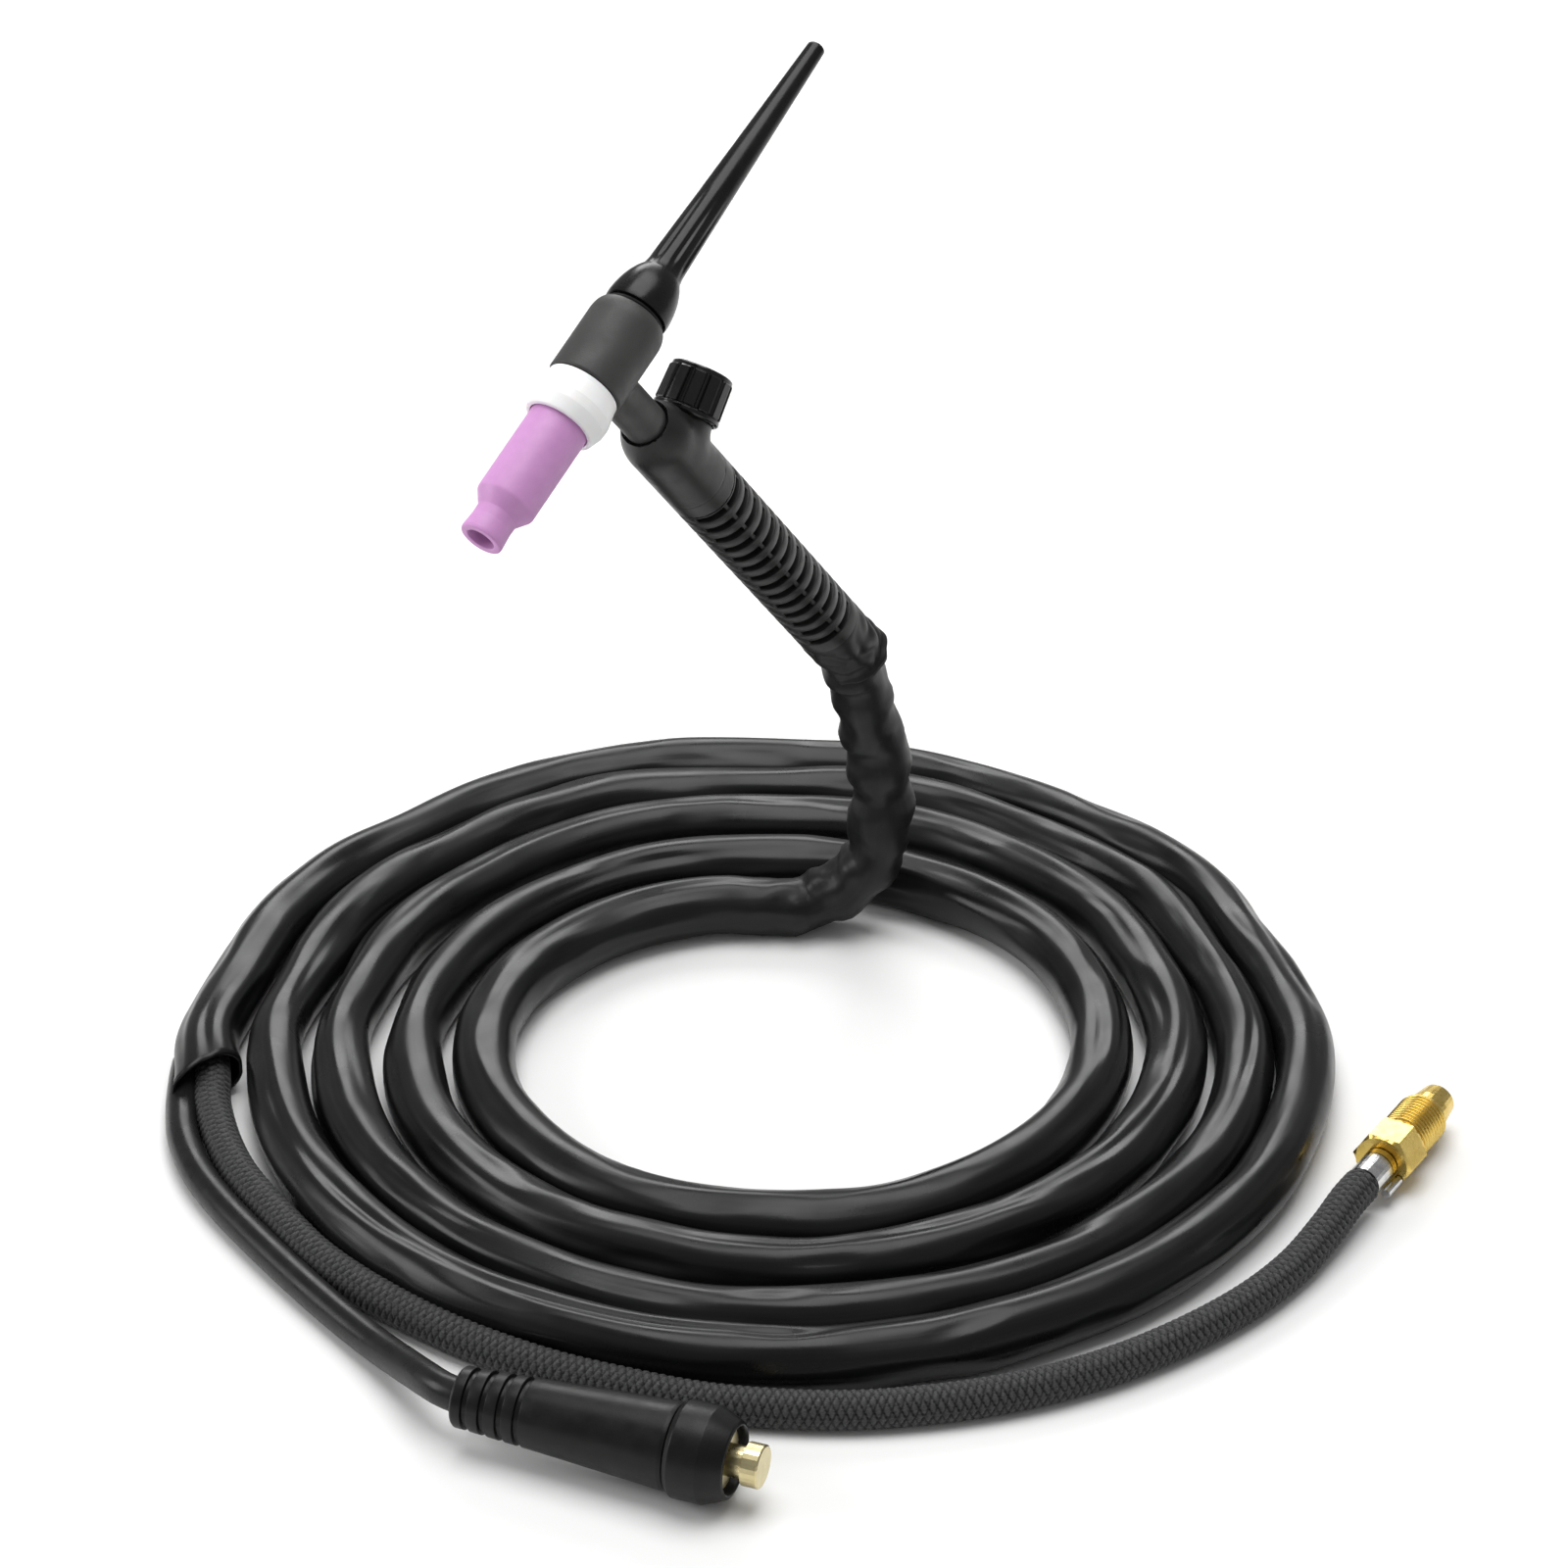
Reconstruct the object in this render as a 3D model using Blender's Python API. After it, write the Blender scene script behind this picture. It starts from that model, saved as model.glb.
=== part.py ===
"""Gas-valve TIG torch with its covered cable coiled on the floor.

Units are metres and +Z is up. The origin is the middle of the ribbed grip, on the grip's axis,
which is where a hand holds the torch. The torch's mirror plane is the XZ plane: the gas nozzle
points forward and down (+X), the back cap backward and up, and the grip slopes down and back to
the cable. The cable cover drops to the floor, winds out in a flat coil of four and a quarter
turns, and lets out a power lead with a bayonet plug and a braided gas hose with a threaded union.
"""
import math

import bmesh
import bpy
import numpy as np
from mathutils import Matrix, Vector

MM = 0.001
GAP = 0.3 * MM

# Torch layout
GRIP_TILT = math.radians(49.0)
CAP_TILT = math.radians(30.0)
GRIP_TO_HEAD = 126.0 * MM
FLOOR_Z = -162.5 * MM

# Grip and valve block, along the grip's axis from the origin towards the head
GRIP_R = 10.6 * MM
GRIP_BORE_R = 8.3 * MM
GRIP_REAR = -44.0 * MM
GRIP_FRONT = 52.2 * MM
SLOT_COUNT = 14
SLOT_FIRST = 50.0 * MM
SLOT_PITCH = 6.67 * MM
SLOT_WIDTH = 2.4 * MM
SLOT_FLOOR_R = 9.0 * MM
BLOCK_FRONT = 96.0 * MM
NECK_R = 6.4 * MM
NECK_END = 90.0 * MM
NECK_BORE_R = 3.5 * MM
BOOT_REAR = -70.0 * MM

# Gas valve, on its own axis that leans from the grip's normal towards the head
VALVE_AT = 75.0 * MM
VALVE_LEAN = math.radians(8.0)
BOSS_R = 8.7 * MM
BOSS_TOP = 11.4 * MM
KNOB_R = 9.8 * MM
KNOB_BOTTOM = 11.9 * MM
KNOB_TOP = 24.8 * MM
KNOB_FLUTES = 12

# Head, along the nozzle's axis from its crossing with the grip's axis, up towards the cap
HEAD_R = 11.4 * MM
HEAD_LOW = -6.7 * MM
HEAD_TOP = 19.6 * MM
HEAD_BORE_R = 7.5 * MM
CORE_R = 7.2 * MM
SHIELD_R = 12.1 * MM
SHIELD_LOW = -20.4 * MM
NOZZLE_R = 8.95 * MM
NOZZLE_TOP = -17.5 * MM
NOZZLE_TIP = -61.3 * MM
NOZZLE_EXIT_R = 4.1 * MM
CAP_BASE = 21.1 * MM
CAP_TIP = 123.0 * MM
CAP_DOME_R = 9.9 * MM
CAP_DOME_LENGTH = 18.0 * MM
CAP_STEM_R = 5.6 * MM
CAP_TIP_R = 2.7 * MM

# Cable cover and its coil
COVER_R = 9.5 * MM
COIL_CENTRE = Vector((22.2, 17.1, 0.0)) * MM
COIL_HEIGHT = 18.0 * MM
COIL_START = math.radians(-144.5)
COIL_TURNS = 4.27
COIL_LEAD_IN = 0.085
COIL_R0 = 82.0 * MM
COIL_PITCH = 22.0 * MM
COIL_BULGE = 2.5 * MM
COIL_OVAL = 1.5 * MM
COIL_HALF_WIDTH = 9.3 * MM

# Gas hose, power lead and what is on them
HOSE_R = 5.3 * MM
LEAD_R = 5.0 * MM
PLUG_REAR = Vector((224.0, 54.5, -148.6)) * MM
PLUG_HEADING = math.radians(105.0)
PLUG_LENGTH = 82.0 * MM
PLUG_R = 13.8 * MM
UNION_REAR = Vector((-16.7, 204.4, -153.6)) * MM
UNION_HEADING = math.radians(183.7)
UNION_HEX_FLAT = 8.5 * MM
UNION_THREAD_R = 8.1 * MM

# Where the riser runs from the strain relief to the top of the coil
RISER_ROUTE = [
    (-50.3, 0.0, -57.9), (-53.0, -0.4, -65.0), (-55.4, -1.0, -74.0), (-58.2, -1.0, -84.0),
    (-60.6, -1.0, -94.0), (-62.0, -1.0, -105.0), (-62.8, -1.0, -116.0), (-62.9, -1.0, -127.0),
    (-62.9, -1.0, -144.2),
]
# The hose from the end of the cover to its ferrule, and the lead from there to the plug
HOSE_ROUTE = [
    (139.3, -106.7, -154.5), (147.8, -100.1, -155.8), (159.2, -89.9, -157.1), (171.7, -72.7, -157.1),
    (181.6, -52.2, -157.1), (189.5, -29.3, -157.1), (194.1, -8.3, -157.1), (196.5, 14.1, -157.1),
    (196.2, 36.6, -157.1), (193.0, 60.6, -157.1), (186.9, 83.6, -157.1), (179.0, 104.2, -157.1),
    (169.0, 123.0, -157.1), (157.5, 140.0, -157.1), (144.0, 155.0, -157.1), (129.0, 169.0, -157.1),
    (112.0, 181.0, -157.1), (92.0, 191.5, -157.1), (70.0, 199.5, -157.1), (48.0, 204.6, -157.1),
    (27.0, 206.9, -156.7), (8.0, 206.4, -155.0), (-6.0, 205.1, -153.7), (-16.4, 204.42, -153.6),
]
LEAD_ROUTE = [
    (146.5, -114.8, -154.5), (155.6, -108.2, -155.4), (167.1, -98.2, -157.3), (180.1, -79.7, -157.3),
    (191.0, -58.1, -157.3), (199.0, -36.0, -157.3), (206.5, -12.0, -157.0), (212.5, 10.0, -155.4),
    (219.0, 23.5, -152.4), (224.5, 36.0, -149.6), (226.23, 46.2, -148.6), (224.08, 54.2, -148.6),
]

UP = Vector((0.0, 0.0, 1.0))


def clear_scene():
    for thing in list(bpy.data.objects):
        bpy.data.objects.remove(thing, do_unlink=True)


def axis_frame(origin, along, across):
    """A placement whose +Z runs along the axis and whose +X is as near as possible to across."""
    z = along.normalized()
    x = (across - z * across.dot(z)).normalized()
    y = z.cross(x)
    return Matrix.Translation(origin) @ Matrix((x, y, z)).transposed().to_4x4()


GRIP_DIRECTION = Vector((math.cos(GRIP_TILT), 0.0, math.sin(GRIP_TILT)))
GRIP_NORMAL = Vector((-math.sin(GRIP_TILT), 0.0, math.cos(GRIP_TILT)))
CAP_DIRECTION = Vector((-math.cos(CAP_TILT), 0.0, math.sin(CAP_TILT)))
VALVE_DIRECTION = GRIP_NORMAL * math.cos(VALVE_LEAN) + GRIP_DIRECTION * math.sin(VALVE_LEAN)
PLUG_DIRECTION = Vector((math.cos(PLUG_HEADING), math.sin(PLUG_HEADING), 0.0))
UNION_DIRECTION = Vector((math.cos(UNION_HEADING), math.sin(UNION_HEADING), 0.0))

GRIP_FRAME = axis_frame(Vector(), GRIP_DIRECTION, GRIP_NORMAL)
HEAD_FRAME = axis_frame(GRIP_DIRECTION * GRIP_TO_HEAD, CAP_DIRECTION, UP)
VALVE_FRAME = axis_frame(GRIP_DIRECTION * VALVE_AT, VALVE_DIRECTION, GRIP_DIRECTION)
PLUG_FRAME = axis_frame(PLUG_REAR, PLUG_DIRECTION, UP)
UNION_FRAME = axis_frame(UNION_REAR, UNION_DIRECTION, UP)


def material(name, colour, roughness, metallic=0.0):
    made = bpy.data.materials.get(name)
    if made is None:
        made = bpy.data.materials.new(name)
        made.use_nodes = True
        shader = made.node_tree.nodes["Principled BSDF"]
        shader.inputs["Base Color"].default_value = (*colour, 1.0)
        shader.inputs["Roughness"].default_value = roughness
        shader.inputs["Metallic"].default_value = metallic
        made.diffuse_color = (*colour, 1.0)
    return made


def moulding():
    return material("black_moulding", (0.035, 0.035, 0.036), 0.5)


def gloss_plastic():
    return material("black_gloss_plastic", (0.012, 0.012, 0.013), 0.2)


def alumina():
    return material("pink_alumina", (0.76, 0.45, 0.72), 0.35)


def white_insulator():
    return material("white_insulator", (0.86, 0.87, 0.87), 0.4)


def brass():
    return material("brass", (0.78, 0.6, 0.27), 0.25, 1.0)


def copper():
    return material("copper", (0.86, 0.5, 0.38), 0.25, 1.0)


def steel():
    return material("steel", (0.7, 0.7, 0.71), 0.25, 1.0)


def black_rubber():
    return material("black_rubber", (0.02, 0.02, 0.021), 0.45)


def cover_skin():
    return material("cable_cover_skin", (0.018, 0.018, 0.019), 0.35)


def braid():
    return material("black_braid", (0.02, 0.02, 0.022), 0.75)


def add_object(name, bm, skin, frame=None):
    """Turn a bmesh into a named, smooth-shaded object whose origin is its frame's."""
    bmesh.ops.remove_doubles(bm, verts=bm.verts, dist=1e-6)
    bmesh.ops.recalc_face_normals(bm, faces=bm.faces)
    mesh = bpy.data.meshes.new(name)
    bm.to_mesh(mesh)
    bm.free()
    mesh.shade_smooth()
    mesh.set_sharp_from_angle(angle=math.radians(35.0))
    made = bpy.data.objects.new(name, mesh)
    bpy.context.scene.collection.objects.link(made)
    if frame is not None:
        made.matrix_world = frame
    if skin is not None:
        mesh.materials.append(skin)
    return made


def turned_mesh(profile, segments, wobble=None):
    """Revolve (radius, height) points in mm about Z.

    A profile that starts and ends on the axis makes a solid, and any other closes into a ring.
    wobble(angle, radius, height) may return another radius, for flats and flutes.
    """
    bm = bmesh.new()
    rings = []
    for radius, height in profile:
        if radius == 0.0:
            rings.append([bm.verts.new((0.0, 0.0, height * MM))])
            continue
        ring = []
        for step in range(segments):
            angle = 2.0 * math.pi * step / segments
            r = radius if wobble is None else wobble(angle, radius, height)
            ring.append(bm.verts.new((r * MM * math.cos(angle), r * MM * math.sin(angle), height * MM)))
        rings.append(ring)
    pairs = list(zip(rings, rings[1:]))
    if profile[0][0] != 0.0:
        pairs.append((rings[-1], rings[0]))
    for lower, upper in pairs:
        for step in range(segments):
            after = (step + 1) % segments
            if len(lower) == 1:
                bm.faces.new((lower[0], upper[after], upper[step]))
            elif len(upper) == 1:
                bm.faces.new((lower[step], lower[after], upper[0]))
            else:
                bm.faces.new((lower[step], lower[after], upper[after], upper[step]))
    return bm


def turned(name, profile, skin, frame, segments=32, wobble=None):
    return add_object(name, turned_mesh(profile, segments, wobble), skin, frame)


def rod(name, radius, low, high, skin, frame, segments=24, bore=0.0):
    """A plain cylinder in mm, or a tube where bore is given."""
    if bore:
        profile = [(radius, low), (radius, high), (bore, high), (bore, low)]
    else:
        profile = [(0.0, low), (radius, low), (radius, high), (0.0, high)]
    return turned(name, profile, skin, frame, segments)


def cutter(name, radius, low, high, frame, segments=24):
    made = rod(name, radius, low, high, None, frame, segments)
    made.hide_render = True
    made.display_type = "WIRE"
    return made


def combine(target, other, operation):
    """Add a live exact Boolean between two objects, and keep the other one as a guide."""
    other.hide_render = True
    other.display_type = "WIRE"
    step = target.modifiers.new(operation.lower() + "_" + other.name, "BOOLEAN")
    step.operation = operation
    step.object = other
    step.solver = "EXACT"


def arc(centre, radii, start, end, count):
    """Points on an ellipse in a profile, angles in degrees from +radius towards +height."""
    points = []
    for angle in np.linspace(math.radians(start), math.radians(end), count):
        points.append((centre[0] + radii[0] * math.cos(angle), centre[1] + radii[1] * math.sin(angle)))
    return points


def torus(name, ring, thickness, height, skin, frame, segments=28, sides=10):
    """An O-ring: its centre-line radius, cord radius and height in mm."""
    section = arc((ring, height), (thickness, thickness), 0.0, 360.0 - 360.0 / sides, sides)
    return turned(name, section, skin, frame, segments)


def smooth_points(route, spacing):
    """Evenly spaced points in metres on a Catmull-Rom curve through a route given in mm."""
    nodes = [np.array(p) * MM for p in route]
    padded = [2 * nodes[0] - nodes[1]] + nodes + [2 * nodes[-1] - nodes[-2]]
    dense = []
    for a, b, c, d in zip(padded, padded[1:], padded[2:], padded[3:]):
        for t in np.linspace(0.0, 1.0, 24, endpoint=False):
            dense.append(0.5 * (2 * b + (c - a) * t + (2 * a - 5 * b + 4 * c - d) * t**2
                                + (3 * b - a - 3 * c + d) * t**3))
    dense.append(nodes[-1])
    dense = np.array(dense)
    travelled = np.concatenate(([0.0], np.cumsum(np.linalg.norm(np.diff(dense, axis=0), axis=1))))
    count = max(3, int(round(travelled[-1] / spacing)) + 1)
    wanted = np.linspace(0.0, travelled[-1], count)
    return np.stack([np.interp(wanted, travelled, dense[:, k]) for k in range(3)], axis=1)


def tube(name, route, radius, skin, spacing):
    """A round tube with filled ends along a route, as a beveled poly curve."""
    points = smooth_points(route, spacing)
    curve = bpy.data.curves.new(name, "CURVE")
    curve.dimensions = "3D"
    curve.bevel_depth = radius
    curve.bevel_resolution = 3
    curve.use_fill_caps = True
    spline = curve.splines.new("POLY")
    spline.points.add(len(points) - 1)
    for spot, place in zip(spline.points, points):
        spot.co = (*place, 1.0)
    curve.materials.append(skin)
    made = bpy.data.objects.new(name, curve)
    bpy.context.scene.collection.objects.link(made)
    return made


# ---------------------------------------------------------------- head

def head_outline():
    """The jacket's outer profile: a cylinder with a flat lower edge and a rounded shoulder."""
    low, top = HEAD_LOW / MM, HEAD_TOP / MM
    radius = HEAD_R / MM
    shoulder = arc((radius - 2.0, top - 4.0), (2.0, 4.0), 0.0, 90.0, 6)
    return [(0.0, low), (radius - 0.5, low), (radius, low + 0.6)] + shoulder + [(0.0, top)]


def make_head_jacket():
    jacket = turned("head_jacket", head_outline(), moulding(), HEAD_FRAME, 40)
    neck = rod("neck_guide", NECK_R / MM, NECK_END / MM, GRIP_TO_HEAD / MM, None, GRIP_FRAME, 28)
    combine(jacket, neck, "UNION")
    combine(jacket, cutter("head_bore", HEAD_BORE_R / MM, -30.0, 40.0, HEAD_FRAME), "DIFFERENCE")
    low, high = NECK_END / MM - 5.0, GRIP_TO_HEAD / MM
    combine(jacket, cutter("neck_bore", NECK_BORE_R / MM, low, high, GRIP_FRAME, 16), "DIFFERENCE")


def make_torch_core():
    """The brass body with its cap and collet-body threads and its brazed gas and power tube."""
    low, top = HEAD_LOW / MM + 0.3, HEAD_TOP / MM - 0.3
    radius = CORE_R / MM
    core = turned("torch_core", [(0.0, low), (radius, low), (radius, top), (0.0, top)],
                  brass(), HEAD_FRAME, 28)
    tail = rod("tail_guide", 3.15, 82.6, GRIP_TO_HEAD / MM - 2.0, None, GRIP_FRAME, 16)
    combine(core, tail, "UNION")
    bore = turned("core_bore", [(0.0, low - 5), (4.95, low - 5), (4.95, 8.0), (2.4, 8.0), (2.4, 12.0),
                                (6.3, 12.0), (6.3, top + 5), (0.0, top + 5)], None, HEAD_FRAME, 24)
    combine(core, bore, "DIFFERENCE")
    gas = cutter("core_gas_bore", 1.6, 80.0, GRIP_TO_HEAD / MM - 1.0, GRIP_FRAME, 12)
    combine(core, gas, "DIFFERENCE")


def make_heat_shield():
    radius, low = SHIELD_R / MM, SHIELD_LOW / MM
    profile = [(10.5, -7.0), (10.5, -10.6), (11.7, -12.0), (radius, -13.2), (radius, -16.2),
               (11.7, -18.6), (10.8, low), (9.3, low), (9.3, -17.2), (6.3, -17.2), (6.3, -7.0)]
    turned("heat_shield", profile, white_insulator(), HEAD_FRAME, 40)


def make_gas_nozzle():
    radius, top, tip = NOZZLE_R / MM, NOZZLE_TOP / MM, NOZZLE_TIP / MM
    shoulder = [(radius, -46.8)] + arc((radius - 2.9, -49.0), (2.9, 2.9), 0.0, -75.0, 5)[1:]
    rim = [(6.55, tip + 1.0), (6.3, tip + 0.2), (5.8, tip)]
    inside = [(4.5, tip), (NOZZLE_EXIT_R / MM, tip + 0.6), (NOZZLE_EXIT_R / MM, -51.5),
              (6.0, -46.5), (6.0, top)]
    profile = [(radius - 0.5, top), (radius, top - 0.5)] + shoulder + [(6.0, -53.2)] + rim + inside
    turned("gas_nozzle", profile, alumina(), HEAD_FRAME, 40)


def make_collet_body():
    profile = [(4.55, 7.6), (4.55, -6.7), (5.9, -6.9), (5.9, -9.0), (5.55, -9.3), (5.55, -25.5),
               (3.5, -26.0), (3.5, -43.5), (2.3, -46.5), (1.5, -46.5), (2.1, -42.5), (2.1, 7.6)]
    body = turned("collet_body", profile, copper(), HEAD_FRAME, 24)
    across = HEAD_FRAME @ Matrix.Translation((0.0, 0.0, -31.0 * MM))
    for number, turn in enumerate((0.0, 90.0)):
        frame = across @ Matrix.Rotation(math.radians(turn), 4, "Z") @ Matrix.Rotation(math.pi / 2, 4, "Y")
        combine(body, cutter(f"gas_port_{number}", 0.9, -6.0, 6.0, frame, 10), "DIFFERENCE")


def make_collet():
    """The slotted copper collet that grips the electrode when the cap is screwed down."""
    profile = [(1.75, 7.4), (1.75, -41.0), (1.25, -42.5), (0.85, -42.5), (0.85, 11.2), (2.1, 11.2),
               (2.1, 8.2)]
    body = turned("collet", profile, copper(), HEAD_FRAME, 16)
    slit = bmesh.new()
    bmesh.ops.create_cube(slit, size=1.0)
    bmesh.ops.scale(slit, vec=(6.0 * MM, 0.5 * MM, 16.0 * MM), verts=slit.verts)
    place = HEAD_FRAME @ Matrix.Translation((0.0, 0.0, -36.0 * MM))
    combine(body, add_object("collet_slit", slit, None, place), "DIFFERENCE")


def make_back_cap():
    """The long closed cap: threaded plug, domed base and slim tapering tube."""
    base, tip = CAP_BASE / MM, CAP_TIP / MM
    dome = arc((0.0, base), (CAP_DOME_R / MM, CAP_DOME_LENGTH / MM), 4.0, 55.6, 9)
    end = arc((0.0, tip - 2.7), (CAP_TIP_R / MM, 2.7), 0.0, 90.0, 5)
    profile = [(0.0, 112.0), (1.8, 112.0), (1.8, 12.4), (5.7, 12.4), (6.0, 12.8), (6.0, 19.9),
               (7.2, 20.0), (7.2, base), (CAP_DOME_R / MM - 0.3, base)] + dome + end[:-1] + [(0.0, tip)]
    turned("back_cap", profile, gloss_plastic(), HEAD_FRAME, 32)
    torus("back_cap_o_ring", 8.75, 0.45, 20.35, black_rubber(), HEAD_FRAME, 28, 8)


# ---------------------------------------------------------------- grip and valve

def make_valve_block():
    """The handle's smooth front moulding, domed to the neck, with the valve's raised boss."""
    low, front, radius = GRIP_FRONT / MM + 0.3, BLOCK_FRONT / MM, GRIP_R / MM
    dome = arc((0.0, front - 13.0), (radius, 13.0), 0.0, 55.0, 6)
    profile = [(0.0, low), (radius, low)] + dome + [(0.0, dome[-1][1])]
    block = turned("valve_block", profile, moulding(), GRIP_FRAME, 40)
    boss = rod("boss_guide", BOSS_R / MM, 0.0, BOSS_TOP / MM, None, VALVE_FRAME, 32)
    combine(block, boss, "UNION")
    combine(block, cutter("block_bore", NECK_R / MM + 0.3, 40.0, 110.0, GRIP_FRAME, 28), "DIFFERENCE")
    combine(block, cutter("boss_bore", 5.4, 0.0, 30.0, VALVE_FRAME, 24), "DIFFERENCE")


def make_handle_grip():
    """The ribbed grip: a tube with fourteen deep rings cut round it."""
    radius, floor = GRIP_R / MM, SLOT_FLOOR_R / MM
    profile = [(radius, GRIP_REAR / MM)]
    for number in reversed(range(SLOT_COUNT)):
        middle = (SLOT_FIRST - number * SLOT_PITCH) / MM
        low, high = middle - SLOT_WIDTH / MM / 2, middle + SLOT_WIDTH / MM / 2
        profile += [(radius, low), (floor, low), (floor, high), (radius, high)]
    profile += [(radius, GRIP_FRONT / MM), (GRIP_BORE_R / MM, GRIP_FRONT / MM),
                (GRIP_BORE_R / MM, GRIP_REAR / MM)]
    turned("handle_grip", profile, moulding(), GRIP_FRAME, 28)


def make_cable_boot():
    """The tapered strain relief behind the grip, with a rolled rear lip."""
    front, rear = GRIP_REAR / MM - 0.3, BOOT_REAR / MM
    profile = [(8.3, front), (10.5, front), (10.3, front - 8), (9.9, front - 17), (9.8, rear + 3.5),
               (10.3, rear + 2.4), (10.3, rear + 0.8), (9.8, rear), (8.3, rear)]
    turned("cable_boot", profile, black_rubber(), GRIP_FRAME, 28)


def make_valve():
    manifold = rod("valve_manifold", 6.2, 63.0, 88.0, brass(), GRIP_FRAME, 24)
    combine(manifold, rod("valve_seat_guide", 5.0, 0.0, 10.0, None, VALVE_FRAME, 20), "UNION")
    combine(manifold, cutter("manifold_gas_bore", 1.6, 60.0, 90.0, GRIP_FRAME, 12), "DIFFERENCE")
    combine(manifold, cutter("manifold_front", 3.45, 82.0, 92.0, GRIP_FRAME, 16), "DIFFERENCE")
    combine(manifold, cutter("manifold_rear", 3.45, 60.0, 70.0, GRIP_FRAME, 16), "DIFFERENCE")
    combine(manifold, cutter("valve_seat_bore", 3.0, 2.6, 12.0, VALVE_FRAME, 16), "DIFFERENCE")
    stem = [(0.0, 3.0), (0.6, 3.0), (2.6, 5.4), (2.6, 6.6), (1.7, 6.6), (1.7, 7.8), (2.6, 7.8),
            (2.6, 20.6), (0.0, 20.6)]
    turned("valve_stem", stem, brass(), VALVE_FRAME, 16)
    torus("valve_o_ring", 2.35, 0.3, 7.2, black_rubber(), VALVE_FRAME, 16, 8)


def knob_outline(angle, radius, height):
    """Twelve raised grips round the knob, between its plain top and bottom rims."""
    if radius < KNOB_R / MM - 0.8 or not KNOB_BOTTOM / MM + 1.0 < height < KNOB_TOP / MM - 1.0:
        return radius
    return radius - 0.55 * (0.5 - 0.5 * math.tanh(6.0 * math.cos(KNOB_FLUTES * angle)))


def make_valve_knob():
    low, top, radius = KNOB_BOTTOM / MM, KNOB_TOP / MM, KNOB_R / MM
    profile = [(2.9, low), (radius - 0.9, low), (radius - 0.5, low + 0.5), (radius - 0.5, low + 1.0),
               (radius, low + 1.3), (radius - 0.3, top - 1.3), (radius - 0.7, top - 0.9),
               (radius - 0.9, top - 0.3), (radius - 1.6, top), (0.0, top)]
    profile = [(0.0, low + 9.0), (2.9, low + 9.0)] + profile
    turned("valve_knob", profile, gloss_plastic(), VALVE_FRAME, 48, knob_outline)


def make_handle_inside():
    """The brass adaptor behind the valve, and the hose and lead that it feeds down the grip."""
    side = 4.15 * MM
    hose_side = GRIP_FRAME @ Matrix.Translation((0.0, side, 0.0))
    lead_side = GRIP_FRAME @ Matrix.Translation((0.0, -side, 0.0))
    adaptor = turned("tail_adaptor", [(0.0, 38.0), (7.6, 38.0), (7.6, 46.0), (6.1, 47.0), (6.1, 62.0),
                                      (3.15, 62.0), (3.15, 69.5), (0.0, 69.5)], brass(), GRIP_FRAME, 24)
    combine(adaptor, rod("gas_barb_guide", 2.3, 26.0, 40.0, None, hose_side, 14), "UNION")
    combine(adaptor, rod("power_stub_guide", 2.4, 28.0, 40.0, None, lead_side, 14), "UNION")
    rod("gas_tail", 3.7, -69.6, 37.6, braid(), hose_side, 16, bore=2.6)
    crimp = [(0.0, 14.0), (3.6, 14.0), (3.6, 37.6), (2.7, 37.6), (2.7, 26.0), (0.0, 26.0)]
    turned("power_crimp", crimp, copper(), lead_side, 16)
    rod("power_tail", 3.8, -69.6, 13.7, black_rubber(), lead_side, 16)


# ---------------------------------------------------------------- cable

def coil_radius(turns):
    """The cover's centre-line distance from the coil's centre after so many turns."""
    swell = COIL_BULGE * math.sin(math.pi * turns / COIL_TURNS)
    return COIL_R0 + COIL_PITCH * turns + swell + COIL_OVAL * math.cos(4.0 * math.pi * turns)


def make_cable_coil():
    """One flat solid of the whole coil's outline, stepped where the cover starts and ends."""
    segments, edge, step = 90, 4.0 * MM, 0.001
    last = COIL_TURNS - math.floor(COIL_TURNS)
    first = 1.0 - COIL_LEAD_IN
    bm = bmesh.new()
    rings = []
    for part in sorted([k / segments for k in range(segments)] + [last, last + step, first, first + step]):
        angle = COIL_START + 2.0 * math.pi * part
        inner = coil_radius(part if part <= first else part - 1.0) - COIL_HALF_WIDTH
        turns = part + math.floor(COIL_TURNS)
        outer = coil_radius(turns if part <= last else turns - 1.0) + COIL_HALF_WIDTH
        low, high = FLOOR_Z, FLOOR_Z + COIL_HEIGHT
        section = [(inner + edge, low), (outer - edge, low), (outer, low + edge), (outer, high - edge),
                   (outer - edge, high), (inner + edge, high), (inner, high - edge), (inner, low + edge)]
        ring = []
        for radius, height in section:
            spot = COIL_CENTRE + Vector((radius * math.cos(angle), radius * math.sin(angle), height))
            ring.append(bm.verts.new(spot))
        rings.append(ring)
    for here, there in zip(rings, rings[1:] + rings[:1]):
        for side in range(8):
            after = (side + 1) % 8
            bm.faces.new((here[side], here[after], there[after], there[side]))
    add_object("cable_coil", bm, cover_skin())


def make_cables():
    exit_point = GRIP_DIRECTION * (BOOT_REAR - GAP)
    route = [tuple(exit_point / MM)] + RISER_ROUTE
    tube("cable_riser", route, COVER_R, cover_skin(), 6.0 * MM)
    tube("gas_hose", HOSE_ROUTE, HOSE_R, braid(), 12.5 * MM)
    tube("power_lead", LEAD_ROUTE, LEAD_R, black_rubber(), 8.0 * MM)


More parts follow.
